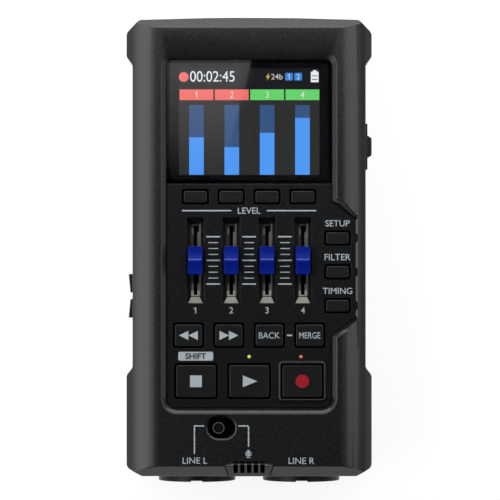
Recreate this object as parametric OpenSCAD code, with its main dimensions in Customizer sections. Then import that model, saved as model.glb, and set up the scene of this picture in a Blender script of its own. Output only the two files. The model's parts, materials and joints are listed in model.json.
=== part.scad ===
// Handheld four-track recorder: a pocket case lying on its back, with its controls facing up.
// Frame: +Z out of the control face, +Y towards the display end, origin under the middle of the box.

/* [Housing] */
// Wall thickness of both case halves
wall = 2; // [1.6:0.1:2.6]
// Height of the rear case above the table
foot_gap = 1; // [0.6:0.1:2]
// Distance from the display end to the panel recess
head_l = 14.75; // [12:0.25:20]
// Margin from the panel bulge to the side of the body
side_margin = 3.54; // [3:0.1:6]
// Step from the side of the body out to the corner bumpers
bumper_step = 2.16; // [1:0.1:3.5]
// Length of the upper bumpers from the display end
upper_bumper_l = 13.8; // [10:0.2:18]
// Length of the lower bumpers from the jack end
lower_bumper_l = 35.4; // [28:0.2:42]
// Length over which a bumper runs in to the side
bumper_run = 2.8; // [2:0.1:5]
// Radius of the rounded shoulders beside the face
shoulder_r = 18; // [15:0.5:24]
// Width of one shoulder, from the flat face to the bumper
shoulder_w = 12; // [9:0.25:13]
// Radius along the long rear edges
rear_r = 5; // [3:0.25:7]
// Length of the bevel at both ends of the face
end_bevel = 3.7; // [2.5:0.1:5]
// Drop of the bevel at both ends of the face
end_drop = 4.5; // [3:0.1:6]
// Bevel at both ends of the rear case
rear_bevel = 3; // [2:0.1:4]
// Crown of the display end over its width
end_crown = 0.8; // [0.3:0.1:1.5]
// Corner cut at the display end
upper_corner = 5.4; // [4.5:0.1:6]
// Corner cut at the jack end, across the body
lower_corner_w = 5.3; // [3:0.1:6]
// Corner cut at the jack end, along the body
lower_corner_l = 3.2; // [2:0.1:4]
// Rounding of the corners of the outline
corner_r = 2.2; // [1:0.1:3]

/* [Panel] */
// Depth of the panel below the face
panel_depth = 2.5; // [1.8:0.1:3]
// Thickness of the control panel and the display window
panel_t = 1.6; // [1.2:0.1:2]
// Width of the sloping wall round the panel
panel_slope = 1.6; // [1:0.1:2.2]
// Corner radius of the recess at the display end
panel_r_top = 2.6; // [1.5:0.1:4]
// Corner radius of the recess at the jack end
panel_r_bottom = 3.7; // [2:0.1:5]
// Width of the ledge that carries the panel and the window
ledge_w = 1.2; // [0.8:0.1:1.4]
// Thickness of that ledge
ledge_t = 0.9; // [0.6:0.1:1.2]
// Width of the display window
window_w = 57.7; // [54:0.1:60]
// Gap round the display window
window_gap = 0.25; // [0.15:0.05:0.4]
// Rise of the bulge's slanting edges over their run
bulge_rise = 0.72; // [0.5:0.02:1]
// Radius of the finger hollows beside the side keys
hollow_r = 2.1; // [1.5:0.1:2.6]
// Depth of the finger hollows
hollow_depth = 0.7; // [0.4:0.05:1]

/* [Keys] */
// Key travel
key_travel = 0.6; // [0.3:0.05:0.8]
// Gap round each key
key_gap = 0.45; // [0.3:0.05:0.6]
// Lip that keeps each key under the panel, past the gap
key_lip = 0.45; // [0.3:0.05:0.6]
// Rise of the small keys above the panel
small_rise = 0.6; // [0.4:0.1:1.2]
// Rise of the large keys above the panel
large_rise = 0.9; // [0.5:0.1:1.5]
// Corner radius of the keys
key_r = 0.7; // [0.4:0.1:1.2]
// Width of a track key
track_key_w = 8.4; // [7:0.1:10]
// Length of a track key
track_key_l = 4.3; // [3.5:0.1:5.5]
// Margin from the panel's upper edge to the track keys
track_margin = 2.45; // [2:0.05:5]
// Width of a side key
side_key_w = 8.2; // [7:0.1:9.5]
// Length of a side key
side_key_l = 4.3; // [3.5:0.1:5.5]
// Spacing of the side keys
side_key_pitch = 11.83; // [9:0.1:13]
// Distance from the last fader to the side keys
side_key_reach = 12.12; // [11:0.1:15]
// Drop of the middle side key below the middle of the faders
side_key_drop = 4.05; // [2:0.1:6]
// Margin from the side keys to the edge of the bulge
bulge_margin = 2.25; // [2:0.1:4]
// Width of a rewind, forward, undo or bounce key
nav_key_w = 9.8; // [8:0.1:11]
// Length of a rewind, forward, undo or bounce key
nav_key_l = 7.8; // [6:0.1:9]
// Spacing of that row
nav_pitch = 14.15; // [13:0.05:15]
// Width of a transport key
transport_key_w = 14.1; // [12:0.1:15]
// Length of a transport key
transport_key_l = 11.5; // [9:0.1:13]
// Spacing of the transport keys
transport_pitch = 18.6; // [18:0.1:20]
// Space between the faders and the row below them
number_band = 7.35; // [5:0.1:10]
// Space between that row and the transport keys
light_band = 6.4; // [5:0.1:9]
// Margin below the transport keys
deck_margin = 3.6; // [2.8:0.1:6]
// Height of the raised guard round the record key
guard_rise = 1.1; // [0.5:0.1:1.6]
// Wall of that guard
guard_t = 0.95; // [0.6:0.05:1.2]
// Radius of the light pipes
light_r = 0.6; // [0.4:0.05:0.9]

/* [Faders] */
// Spacing of the faders
fader_pitch = 12.55; // [11:0.05:14]
// Travel of each fader
fader_travel = 20; // [15:0.5:24]
// Width of a fader slot
slot_w = 6.1; // [5.5:0.1:7]
// Clearance at each end of a fader slot
slot_end = 0.1; // [0.1:0.05:1]
// Width of a fader cap
cap_w = 5.2; // [4.6:0.1:5.6]
// Length of a fader cap
cap_l = 9.8; // [8:0.1:12]
// Height of a fader cap
cap_h = 4.2; // [3:0.1:6]
// Gap between the panel and the fader caps
cap_gap = 0.3; // [0.2:0.05:0.8]
// Space between the track keys and the fader slots
legend_band = 5.1; // [4.5:0.1:8]
// Width of a fader frame
frame_w = 7; // [6.4:0.1:8]
// Height of a fader frame
frame_h = 5.8; // [5:0.1:6.4]
// Length of a fader frame past its slot
frame_over = 4; // [3:0.1:4.8]
// Thickness of a fader lever
lever_t = 1.2; // [0.8:0.1:1.6]
// Length of a fader lever along its travel
lever_l = 4; // [3:0.1:5]

/* [Boards] */
// Thickness of the circuit boards
board_t = 1.6; // [1:0.1:2]
// Space between the main board and the control board
board_gap = 10.8; // [9:0.1:14]
// Space between the control board and the panel
key_stack = 7.9; // [7.4:0.1:10]
// Space under the main board
solder_gap = 0.4; // [0.3:0.1:1.5]
// Side of a key switch
switch_w = 4.6; // [4:0.1:5.4]
// Height of a key switch body
switch_h = 3.6; // [3:0.1:4]
// Height of a key switch plunger above its body
plunger_h = 1.3; // [0.8:0.1:1.6]
// Width of the display module
lcd_w = 60.2; // [57:0.1:62]
// Length of the display module and its window
lcd_l = 43; // [40:0.1:46]
// Thickness of the display module
lcd_t = 3.4; // [2.4:0.1:4]

/* [Jacks] */
// Spacing of the two input jacks
jack_pitch = 37; // [34:0.1:40]
// Radius of a jack's bezel
bezel_r = 13.6; // [13:0.1:14.5]
// Thickness of a jack's bezel
bezel_t = 2.35; // [1.5:0.05:3]
// Radius of a jack's body
jack_r = 12; // [11:0.1:12.5]
// Depth of a jack's body behind the end wall
jack_depth = 28; // [24:0.5:32]
// Space between the transport switches and the jacks
jack_clear = 3.1; // [2.6:0.1:6]
// Radius of the plug bore
plug_bore_r = 3.25; // [3.2:0.01:3.5]
// Depth of the plug bore
plug_bore_l = 26; // [20:0.5:29]
// Outer radius of the ring groove for a round connector's shell
ring_outer_r = 9.7; // [9.5:0.1:10.2]
// Inner radius of that groove
ring_inner_r = 7.9; // [7.6:0.1:8.4]
// Depth of that groove
ring_depth = 13; // [9:0.5:16]
// Radius of the circle of connector contacts
contact_circle = 5.4; // [5.2:0.05:5.8]
// Outer radius of a connector contact
contact_r = 1.5; // [1.3:0.05:1.6]
// Bore radius of a connector contact
contact_bore_r = 1.22; // [1:0.02:1.25]
// Radius of the headphone bore
phones_bore_r = 1.8; // [1.77:0.01:2]
// Depth of the headphone bore
phones_bore_l = 13; // [10:0.5:14]
// Distance from the display end to the headphone jack
phones_pos = 42; // [36:0.5:48]
// Space between the upper screws of the main board and the card socket
card_gap = 1.9; // [1:0.1:4]
// Space between the card socket and the data socket
usb_gap = 5.3; // [3:0.1:10]

/* [Switches] */
// Distance from the display end to the power slider
power_pos = 45.25; // [40:0.25:52]
// Length of the power slider's bezel
power_bezel_l = 16.1; // [15:0.1:20]
// Height of the power slider's bezel
power_bezel_h = 9.4; // [8.6:0.1:9.8]
// How far that bezel stands out of the side
power_proud = 0.65; // [0.4:0.05:1.2]
// Length of the power slider's knob
power_knob_l = 8.1; // [6:0.1:8.2]
// Height of the power slider's knob
power_knob_h = 6.4; // [5:0.1:7]
// How far the knob stands out of the side
power_knob_out = 2.16; // [1.5:0.05:2.6]
// Travel of the power slider to each side
power_travel = 3; // [2:0.1:3.2]
// Offset of the input selector from the middle
selector_x = -9.67; // [-11:0.05:-9.5]
// Distance from the panel to the input selector
selector_drop = 6.9; // [5.8:0.1:8]
// Travel of the input selector
selector_travel = 2; // [1:0.1:3]
// Radius of the input selector's knob
selector_r = 2.1; // [1.6:0.05:2.4]
// Gap round that knob in its recess
selector_gap = 1.45; // [0.8:0.05:1.8]
// Depth of that recess
selector_depth = 2.6; // [2.2:0.1:3.2]
// Distance from the middle of the faders to the volume keys
volume_drop = 12.55; // [11:0.05:14]
// Length of a volume key
volume_key_l = 6.55; // [5:0.05:8]
// Space between the volume keys
volume_key_space = 2.3; // [2:0.1:4]
// Height of a volume key
volume_key_h = 7; // [5:0.1:8]
// How far a volume key stands out at its far end
volume_out_far = 1.66; // [1.2:0.02:2]
// How far a volume key stands out at its near end
volume_out_near = 1.06; // [0.8:0.02:1.2]

/* [Microphone] */
// Width of the grille at its upper edge
grille_w = 16.8; // [14:0.1:18]
// Narrowing of the grille at each side
grille_taper = 1.3; // [0.5:0.1:2]
// Length of the grille along the body
grille_l = 4.7; // [4:0.1:6]
// Rise of the grille above the bevel
grille_rise = 0.5; // [0.3:0.1:1]
// Number of slots in the grille
grille_slots = 5; // [3:1:6]
// Spacing of the grille's slots
grille_pitch = 2.35; // [2:0.05:2.5]
// Width of a slot in the grille
grille_slot_w = 1.43; // [0.8:0.01:1.6]
// Radius of the microphone capsule
mic_r = 2.9; // [2:0.1:3.2]
// Wall of the microphone's rubber boot
boot_t = 0.7; // [0.5:0.1:0.9]

/* [Battery] */
// Diameter of a cell
cell_d = 14.5; // [13.5:0.1:15]
// Length of a cell
cell_l = 50.5; // [48:0.1:52]
// Space above and below the cells
cell_gap = 0.3; // [0.2:0.05:0.8]
// Space between neighbouring cells
cell_space = 0.4; // [0.3:0.05:1]
// Room for the contacts at each end of the cells
contact_room = 2.2; // [1.6:0.1:3]
// Wall of the battery tray
tray_t = 1.5; // [1:0.1:2]
// Lip of the case that carries the battery door
door_lip = 0.9; // [0.6:0.05:1]
// Reach of the battery door's edges into the case
door_edge = 1.8; // [1.2:0.1:2.2]
// Radius of a foot
foot_r = 3.5; // [2.5:0.1:3.6]
// Depth of the seat of a foot
foot_seat = 0.5; // [0.3:0.1:0.8]

/* [Fits] */
// Clearance round fixed pieces
fit = 0.1; // [0.05:0.05:0.2]
// Clearance round moving pieces
slack = 0.25; // [0.15:0.05:0.35]
// Radius of a case screw's shank
screw_r = 1.2; // [1:0.05:1.4]
// Length of a case screw below its head
screw_l = 27; // [24:0.5:29]
// Radius of a board screw's shank
board_screw_r = 1; // [0.8:0.05:1.1]
// Wall round a screw in its boss
boss_t = 1.7; // [1.2:0.1:1.8]

/* [Hidden] */
$fn = 64;
overcut = 1;
TRACKS = [0 : 3];
KEY_ROWS = [
    for (i = TRACKS) str("track_key_", i + 1),
    "input_key", "effect_key", "rhythm_key",
    "rewind_key", "forward_key", "undo_key", "bounce_key",
    "stop_key", "play_key", "record_key"
];

// Colours
case_grey = "#4a4a4c";
panel_black = "#1d1d1f";
key_black = "#28282a";
steel = "#8a857a";
board_green = "#1f5b3a";

// Small sizes of the case and the panel
skin = 0.01;
well_t = 1.5;
slot_r = 0.4;
bulge_r = 1.5;
bulge_root = 4;
bulge_over = 4.75;
bulge_under = 1.95;
bay_lip = 1;
door_gap = 0.15;
grille_edge = 0.4;
grille_foot = 1.3;
foot_end_lower = 9;
foot_end_upper = 9.5;

// Small sizes of the switches, lights and sockets
power_rise = 3.8;
power_stem_l = 3;
power_stem_h = 2;
power_stem_in = 2.5;
power_seat = 0.5;
power_track = 0.7;
volume_hang = 2.2;
volume_lip = 0.6;
light_shift = 0.35;
light_rise = 0.1;
record_light_shift = 0.45;
phones_collar_r = 2.9;
usb_w = 9;
usb_h = 3.2;
card_w = 12.6;
card_h = 1.9;
card_body_w = 14.4;
lcd_rim = 0.5;
power_depth = 5.6;
power_room = 1;
frame_sheet = 1;
carriage_over = 0.8;
cap_socket = 2.7;
contact_l = 12;
contact_angles = [30, 150, 270];
boot_l = 4.5;
boot_floor = 0.8;
mic_pos = 9.8;
nub_r = 2.75;
nub_l = 1;

// Fasteners
head_r = 2.4;
head_h = 1.6;
head_depth = 3;
tip_gap = 0.5;
boss_r = screw_r + boss_t;
boss_merge = 0.2;
upper_boss_pos = 19;
lower_boss_gap = 5;
middle_boss_gap = 5.1;
board_head_r = 1.9;
board_head_h = 1.3;
board_screw_l = 6;
post_t = 1.2;
post_r = board_screw_r + post_t;
post_inset = 5;
control_post_upper = 3.9;
control_post_lower = 10;
main_post_upper = 8;
main_post_lower = 9;

// Heights, from the table up to the face
z_rear = foot_gap;
z_floor = z_rear + wall;
z_cell = z_floor + cell_gap + cell_d / 2;
z_tray = z_floor + 2 * cell_gap + cell_d;
z_main = z_tray + tray_t + solder_gap;
z_main_top = z_main + board_t;
z_control = z_main_top + board_gap;
z_control_top = z_control + board_t;
z_under = z_control_top + key_stack;
z_panel = z_under + panel_t;
z_face = z_panel + panel_depth;
z_split = (z_rear + z_face) / 2;
z_ledge = z_under - ledge_t;
z_ceiling = z_face - wall;
z_switch_top = z_control_top + switch_h + plunger_h;
z_lcd_top = z_ledge - fit;
z_frame_top = z_control_top + frame_h;
z_phones = z_main_top + phones_collar_r;
z_usb = z_main_top + usb_h / 2 + fit / 2;
z_power = z_control_top + power_rise;
z_volume = z_control - volume_hang;

// Distances along the body, from the display end
slot_l = fader_travel + cap_l + 2 * slot_end;
window_l = lcd_l;
window_end = head_l + 2 * window_gap + window_l;
track_pos = window_end + track_margin + track_key_l / 2;
slot_pos = window_end + track_margin + track_key_l + legend_band + slot_l / 2;
nav_pos = slot_pos + slot_l / 2 + number_band + nav_key_l / 2;
light_pos = nav_pos + nav_key_l / 2 + light_band / 2 + light_shift;
transport_pos = nav_pos + nav_key_l / 2 + light_band + transport_key_l / 2;
deck_end = transport_pos + transport_key_l / 2 + deck_margin;
jack_rear_pos = transport_pos + switch_w / 2 + jack_clear;
body_l = jack_rear_pos + jack_depth;
y_top = (body_l + bezel_t) / 2;
y_bottom = y_top - body_l;
y_seam = y_top - window_end;
y_slot = y_top - slot_pos;
y_deck_end = y_top - deck_end;
y_jack_rear = y_top - jack_rear_pos;

// Widths
side_key_x = 1.5 * fader_pitch + side_key_reach;
bulge_x = side_key_x + side_key_w / 2 + bulge_margin;
lcd_side = lcd_w / 2 + lcd_rim + power_room + power_depth + wall;
body_half = max(bulge_x + side_margin, lcd_side);
bumper_half = body_half + bumper_step;
face_half = bumper_half - shoulder_w;
panel_half = window_w / 2 + window_gap;
inner_half = body_half - wall;
bulge_top = side_key_y(0) + side_key_l / 2 + bulge_over;
bulge_bottom = side_key_y(2) - side_key_l / 2 - bulge_under;

// Battery bay
cell_pitch = cell_d + cell_space;
bay_half = 2 * cell_pitch;
cells_y1 = y_top - wall - rear_bevel - fit - tray_t - contact_room;
cells_y0 = cells_y1 - cell_l;
bay_y1 = cells_y1 + contact_room;
bay_y0 = cells_y0 - contact_room;
tray_y0 = bay_y0 - tray_t;
door_skin_half = bay_half - bay_lip;
door_half = door_skin_half + door_edge;
door_top = z_floor - door_gap;
foot_x = bumper_half - rear_r - foot_r - fit;

// Places of the fasteners
head_seat = z_rear + head_depth;
boss_x = inner_half - boss_r + boss_merge;
upper_boss_y = y_top - upper_boss_pos;
lower_boss_y = y_jack_rear - lower_boss_gap;
side_boss_places = [
    [-boss_x, upper_boss_y], [boss_x, upper_boss_y], [-boss_x, lower_boss_y], [boss_x, lower_boss_y]
];
middle_boss_place = [0, y_deck_end - middle_boss_gap];
case_boss_places = concat(side_boss_places, [middle_boss_place]);
post_x = inner_half - post_inset;
control_post_places = [
    [-post_x, y_seam - control_post_upper], [post_x, y_seam - control_post_upper],
    [-post_x, y_jack_rear + control_post_lower], [post_x, y_jack_rear + control_post_lower]
];
main_post_y = tray_y0 - main_post_upper;
main_post_places = [
    [-post_x, main_post_y], [post_x, main_post_y],
    [-post_x, y_jack_rear + main_post_lower], [post_x, y_jack_rear + main_post_lower]
];

// Places of the card socket and the data socket
card_y = main_post_y - board_head_r - card_gap - card_body_w / 2;
usb_y = card_y - card_body_w / 2 - usb_gap - usb_w / 2;

// Key and switch sizes
flange_t = 0.9;
flange_gap = 0.25;
stem_r = 1.5;
stem_gap = 0.2;
plunger_r = 1.4;
selector_y = y_deck_end - selector_drop;
selector_half = selector_travel / 2;
selector_floor = z_face - selector_depth;
selector_stem_r = 0.9;
power_y = y_top - power_pos;
power_slot_l = power_stem_l + 2 * power_travel + 2 * slack;
foot_places_y = [y_bottom + foot_end_lower, y_top - foot_end_upper];
light_places = [0, transport_x(2) - record_light_shift];
lcd_y = y_seam + window_gap + window_l / 2;
carriage_l = lever_l + 2 * carriage_over;
cap_bottom = z_panel + cap_gap;
mic_y = y_bottom + mic_pos;

function col_x(i) = (i - 1.5) * fader_pitch;
function nav_x(i) = (i - 1.5) * nav_pitch;
function transport_x(i) = (i - 1) * transport_pitch;
function side_key_y(i) = y_slot - side_key_drop + (1 - i) * side_key_pitch;
function volume_y(i) = y_slot - volume_drop + (0.5 - i) * (volume_key_l + volume_key_space);
function unit(v) = v / norm(v);

// Points of an arc that rounds the corner p between a and b
function corner_arc(a, p, b, r, n = 6) =
    let (u = unit(a - p), v = unit(b - p), half = acos(u * v) / 2)
    let (c = p + unit(u + v) * r / sin(half), s = p + u * r / tan(half) - c)
    let (e = p + v * r / tan(half) - c, a0 = atan2(s[1], s[0]), turn = atan2(e[1], e[0]) - a0)
    let (sweep = turn > 180 ? turn - 360 : turn < -180 ? turn + 360 : turn)
    [for (i = [0 : n]) c + r * [cos(a0 + sweep * i / n), sin(a0 + sweep * i / n)]];

function mirrored(points) = [for (i = [len(points) - 1 : -1 : 0]) [-points[i][0], points[i][1]]];

// A flat rounded rectangle about its middle
module round_rect(w, l, r) {
    square([w - 2 * r, l], center = true);
    square([w, l - 2 * r], center = true);
    for (x = [-1, 1], y = [-1, 1])
        translate([x * (w / 2 - r), y * (l / 2 - r)])
            circle(r);
}

// A flat slot with round ends along x
module stadium(reach, r) {
    square([reach, 2 * r], center = true);
    for (x = [-1, 1])
        translate([x * reach / 2, 0])
            circle(r);
}

module slab(z0, z1) {
    translate([0, 0, z0])
        linear_extrude(z1 - z0)
            children();
}

// Extrudes a flat x-z shape along y, both ways from the middle
module along_y(l) {
    rotate([90, 0, 0])
        linear_extrude(l, center = true)
            children();
}

// Extrudes a flat y-z shape along x, both ways from the middle
module along_x(l) {
    rotate([90, 0, 90])
        linear_extrude(l, center = true)
            children();
}

// A round bar along -y whose outer end lies at y
module rod_y(r, y, l) {
    translate([0, y + l, 0])
        rotate([90, 0, 0])
            cylinder(r = r, h = l);
}

// A round bar along x from x0
module rod_x(r, x0, l) {
    translate([x0, 0, 0])
        rotate([0, 90, 0])
            cylinder(r = r, h = l);
}

// Outline of the body seen from above, with the corner bumpers
module body_outline() {
    crown_steps = 6;
    top_half = bumper_half - upper_corner;
    right = concat(
        corner_arc([0, y_top], [top_half + end_crown, y_top - end_crown],
                   [bumper_half, y_top - upper_corner], corner_r),
        rounded_run([[top_half, y_top], [bumper_half, y_top - upper_corner],
                     [bumper_half, y_top - upper_bumper_l],
                     [body_half, y_top - upper_bumper_l - bumper_run],
                     [body_half, y_bottom + lower_bumper_l + bumper_run],
                     [bumper_half, y_bottom + lower_bumper_l],
                     [bumper_half, y_bottom + lower_corner_l],
                     [bumper_half - lower_corner_w, y_bottom],
                     [0, y_bottom]])
    );
    crown = [for (i = [-crown_steps : crown_steps])
        let (s = i / (crown_steps + 1)) [s * top_half, y_top - end_crown * s * s]];
    polygon(concat(crown, right, mirrored(right)));
}

// Rounds every inner point of an open run
function rounded_run(points) =
    [for (i = [1 : len(points) - 2]) each corner_arc(points[i - 1], points[i], points[i + 1], corner_r)];

// Outline of the room inside, seen from above
module cavity_outline() {
    cut = upper_corner - bumper_step - (2 - sqrt(2)) * wall;
    right = [[inner_half - cut, y_top - wall], [inner_half, y_top - wall - cut],
             [inner_half, y_bottom + wall]];
    polygon(concat(right, mirrored(right)));
}

// Cross-section of the body, set in by d
module body_section(d) {
    half = bumper_half - d;
    arc_r = shoulder_r - d;
    arc_z = z_face - shoulder_r;
    side_top = arc_z + sqrt(pow(arc_r, 2) - pow(half - face_half, 2));
    translate([-face_half, z_rear + d])
        square([2 * face_half, z_face - z_rear - 2 * d]);
    translate([-half, z_rear + rear_r])
        square([2 * half, side_top - z_rear - rear_r]);
    translate([-bumper_half + rear_r, z_rear + d])
        square([2 * (bumper_half - rear_r), rear_r]);
    for (s = [-1, 1]) {
        intersection() {
            translate([s * face_half, arc_z])
                circle(arc_r, $fn = 200);
            translate([s > 0 ? 0 : -half, z_split])
                square([half, z_face]);
        }
        translate([s * (bumper_half - rear_r), z_rear + rear_r])
            circle(rear_r - d);
    }
}

// Side profile of the body, set in by d
module body_profile(d) {
    y0 = y_bottom + d;
    y1 = y_top - d;
    z0 = z_rear + d;
    z1 = z_face - d;
    polygon([
        [y0 + end_bevel, z1], [y1 - end_bevel, z1], [y1, z1 - end_drop], [y1, z0 + rear_bevel],
        [y1 - rear_bevel, z0], [y0 + rear_bevel, z0], [y0, z0 + rear_bevel], [y0, z1 - end_drop]
    ]);
}

module body_solid() {
    intersection() {
        slab(0, z_face + overcut)
            body_outline();
        along_y(2 * body_l)
            body_section(0);
        along_x(4 * bumper_half)
            body_profile(0);
    }
}

module body_room() {
    intersection() {
        slab(0, z_face + overcut)
            cavity_outline();
        along_y(2 * body_l)
            body_section(wall);
        along_x(4 * bumper_half)
            body_profile(wall);
    }
}

module upper_half() {
    slab(z_split, z_face + overcut)
        square(4 * body_l, center = true);
}

module lower_half() {
    slab(-overcut, z_split)
        square(4 * body_l, center = true);
}

// The straight part of the panel's floor, set in by d
module panel_rect(d) {
    y0 = y_deck_end + d;
    y1 = y_top - head_l - d;
    half = panel_half - d;
    r0 = panel_r_bottom - d;
    r1 = panel_r_top - d;
    translate([-half, y0 + r0])
        square([2 * half, y1 - y0 - r0 - r1]);
    translate([-half + r0, y0])
        square([2 * (half - r0), r0]);
    translate([-half + r1, y1 - r1])
        square([2 * (half - r1), r1]);
    for (s = [-1, 1]) {
        translate([s * (half - r0), y0 + r0])
            circle(r0);
        translate([s * (half - r1), y1 - r1])
            circle(r1);
    }
}

// The bulge of the panel round the side keys, set in by d
module panel_bulge(d) {
    root = panel_half - bulge_root;
    run = bulge_x - root;
    outer = [
        [root, bulge_top + bulge_rise * run - d], [bulge_x - d, bulge_top - d],
        [bulge_x - d, bulge_bottom + d], [root, bulge_bottom - bulge_rise * run + d]
    ];
    polygon([outer[0], each corner_arc(outer[0], outer[1], outer[2], bulge_r),
             each corner_arc(outer[1], outer[2], outer[3], bulge_r), outer[3]]);
}

module panel_floor(d) {
    panel_rect(d);
    panel_bulge(d);
}

// The recess with its sloping walls, and the pocket that takes the panel and the window
module panel_recess() {
    out = panel_slope * (1 + overcut / panel_depth);
    hull() {
        slab(z_panel, z_panel + skin)
            panel_rect(0, $fn = 32);
        slab(z_face + overcut, z_face + overcut + skin)
            panel_rect(-out, $fn = 32);
    }
    hull() {
        slab(z_panel, z_panel + skin)
            panel_bulge(0);
        slab(z_face + overcut, z_face + overcut + skin)
            panel_bulge(-out);
    }
    for (i = [0 : 2])
        translate([bulge_x + hollow_depth - hollow_r, side_key_y(i), z_panel])
            cylinder(r = hollow_r, h = panel_depth + overcut);
    slab(z_under, z_panel + skin)
        panel_floor(0);
    slab(z_split, z_under + skin)
        difference() {
            panel_floor(ledge_w);
            translate([0, y_seam])
                square([4 * panel_half, 2 * ledge_w], center = true);
        }
}

module selector_outline(d) {
    stadium(selector_travel, selector_r + selector_gap + d);
}

module selector_recess() {
    rim = 0.6;
    translate([selector_x, selector_y, 0]) {
        slab(selector_floor, z_face + overcut)
            selector_outline(0);
        slab(z_split, selector_floor + overcut)
            stadium(selector_travel, selector_stem_r + slack);
        hull() {
            slab(z_face - rim, z_face - rim + skin)
                selector_outline(0, $fn = 32);
            slab(z_face + rim, z_face + rim + skin)
                selector_outline(2 * rim, $fn = 32);
        }
    }
}

// The raised grille over the microphone, follows the bevel at the jack end
module grille_body() {
    y1 = y_bottom + grille_l;
    z0 = z_face - end_drop - grille_edge;
    intersection() {
        along_x(2 * grille_w)
            polygon([
                [y1, z_face - wall / 2], [y1, z_face], [y1 - 2 * grille_rise, z_face + grille_rise],
                [y_bottom + end_bevel, z_face + grille_rise],
                [y_bottom, z_face - end_drop + 2 * grille_rise],
                [y_bottom, z0], [y_bottom + wall / 2, z0],
                [y_bottom + end_bevel, z_face - wall / 2]
            ]);
        slab(z_split, z_face + overcut)
            polygon([
                [-grille_w / 2, y1], [grille_w / 2, y1],
                [grille_w / 2 - grille_taper, y_bottom], [grille_taper - grille_w / 2, y_bottom]
            ]);
    }
}

module grille_cuts() {
    slot_y1 = y_bottom + grille_l - grille_edge;
    slot_y0 = y_bottom + grille_foot;
    for (i = [0 : grille_slots - 1])
        translate([(i - (grille_slots - 1) / 2) * grille_pitch, (slot_y0 + slot_y1) / 2, 0])
            slab(z_face - wall - end_drop, z_face + overcut)
                square([grille_slot_w, slot_y1 - slot_y0], center = true);
}

// Holes in the side and end walls that both case halves share
module wall_cuts() {
    for (s = [-1, 1])
        translate([s * jack_pitch / 2, 0, z_split])
            rod_y(jack_r + fit, y_bottom - overcut, wall + 2 * overcut);
    translate([0, y_top - phones_pos, z_phones])
        rod_x(phones_collar_r + fit, -body_half - overcut, wall + 2 * overcut);
    translate([inner_half - overcut, usb_y, z_usb])
        rotate([90, 0, 90])
            linear_extrude(wall + 2 * overcut)
                stadium(usb_w - usb_h, usb_h / 2 + slack);
    translate([inner_half - overcut, card_y, z_main_top + card_h / 2])
        rotate([90, 0, 90])
            linear_extrude(wall + 2 * overcut)
                square([card_w, card_h], center = true);
    for (i = [0, 1])
        translate([-body_half, volume_y(i), z_volume])
            cube([6 * wall, volume_key_l + 2 * slack, volume_key_h + 2 * slack], center = true);
    translate([body_half - power_seat + wall, power_y, z_power])
        cube([2 * wall, power_bezel_l + 2 * fit, power_bezel_h + 2 * fit], center = true);
    translate([body_half, power_y, z_power])
        cube([6 * wall, power_slot_l, power_stem_h + 2 * slack], center = true);
}

module front_case() {
    color(case_grey)
    difference() {
        union() {
            difference() {
                intersection() {
                    body_solid();
                    upper_half();
                }
                body_room();
            }
            intersection() {
                body_solid();
                union() {
                    slab(z_ledge, z_face - panel_depth / 2)
                        panel_floor(-well_t);
                    translate([selector_x, selector_y, 0])
                        slab(selector_floor - wall / 2, z_face - wall / 2)
                            selector_outline(wall / 2);
                    for (p = side_boss_places)
                        translate([p[0], p[1], z_split])
                            cylinder(r = boss_r, h = z_control_top - z_split);
                    translate([middle_boss_place[0], middle_boss_place[1], z_split])
                        cylinder(r = boss_r, h = z_face - wall / 2 - z_split);
                    for (p = control_post_places)
                        translate([p[0], p[1], z_control_top])
                            cylinder(r = post_r, h = z_ceiling - z_control_top);
                }
            }
            grille_body();
        }
        panel_recess();
        selector_recess();
        grille_cuts();
        wall_cuts();
        for (p = case_boss_places)
            translate([p[0], p[1], z_split - overcut])
                cylinder(r = screw_r + fit / 2, h = head_seat + screw_l + tip_gap - z_split + overcut);
        for (p = control_post_places)
            translate([p[0], p[1], z_control_top - overcut])
                cylinder(r = board_screw_r + fit / 2, h = board_screw_l - board_t + tip_gap + overcut);
    }
}

module rear_case() {
    color(case_grey)
    difference() {
        union() {
            difference() {
                intersection() {
                    body_solid();
                    lower_half();
                }
                body_room();
            }
            intersection() {
                body_solid();
                union() {
                    for (p = case_boss_places)
                        translate([p[0], p[1], z_rear])
                            cylinder(r = boss_r, h = z_split - z_rear);
                    for (p = main_post_places)
                        translate([p[0], p[1], z_rear])
                            cylinder(r = post_r, h = z_main - z_rear);
                }
            }
        }
        wall_cuts();
        for (p = case_boss_places)
            translate([p[0], p[1], 0]) {
                cylinder(r = screw_r + slack, h = z_split + overcut);
                cylinder(r = head_r + slack, h = head_seat);
            }
        for (p = main_post_places)
            translate([p[0], p[1], z_main_top - board_screw_l - tip_gap])
                cylinder(r = board_screw_r + fit / 2, h = board_screw_l);
        for (x = [-1, 1], y = foot_places_y)
            translate([x * foot_x, y, 0])
                cylinder(r = foot_r + fit, h = z_rear + foot_seat);
        door_opening(0);
    }
}

// The sliding door's way through the rear case, or the door itself when set in by d
module door_opening(d) {
    y0 = bay_y0 + d;
    y1 = d > 0 ? y_top : y_top + overcut;
    z0 = d > 0 ? z_rear : -overcut;
    z_edge = z_rear + door_lip + (d > 0 ? door_gap : 0);
    z1 = d > 0 ? door_top : z_floor + fit;
    slab(z0, z1)
        translate([d - door_skin_half, y0])
            square([2 * (door_skin_half - d), y1 - y0]);
    slab(z_edge, z1)
        translate([d - door_half, y0])
            square([2 * (door_half - d), y1 - y0]);
}

module battery_door() {
    grip_count = 5;
    grip_pos = 8;
    grip_pitch = 2;
    grip_w = 18;
    grip_l = 0.9;
    grip_depth = 0.4;
    color(case_grey)
    difference() {
        intersection() {
            body_solid();
            door_opening(slack);
        }
        for (i = [0 : grip_count - 1])
            translate([0, bay_y0 + grip_pos + grip_pitch * i, z_rear])
                cube([grip_w, grip_l, 2 * grip_depth], center = true);
    }
}

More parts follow.
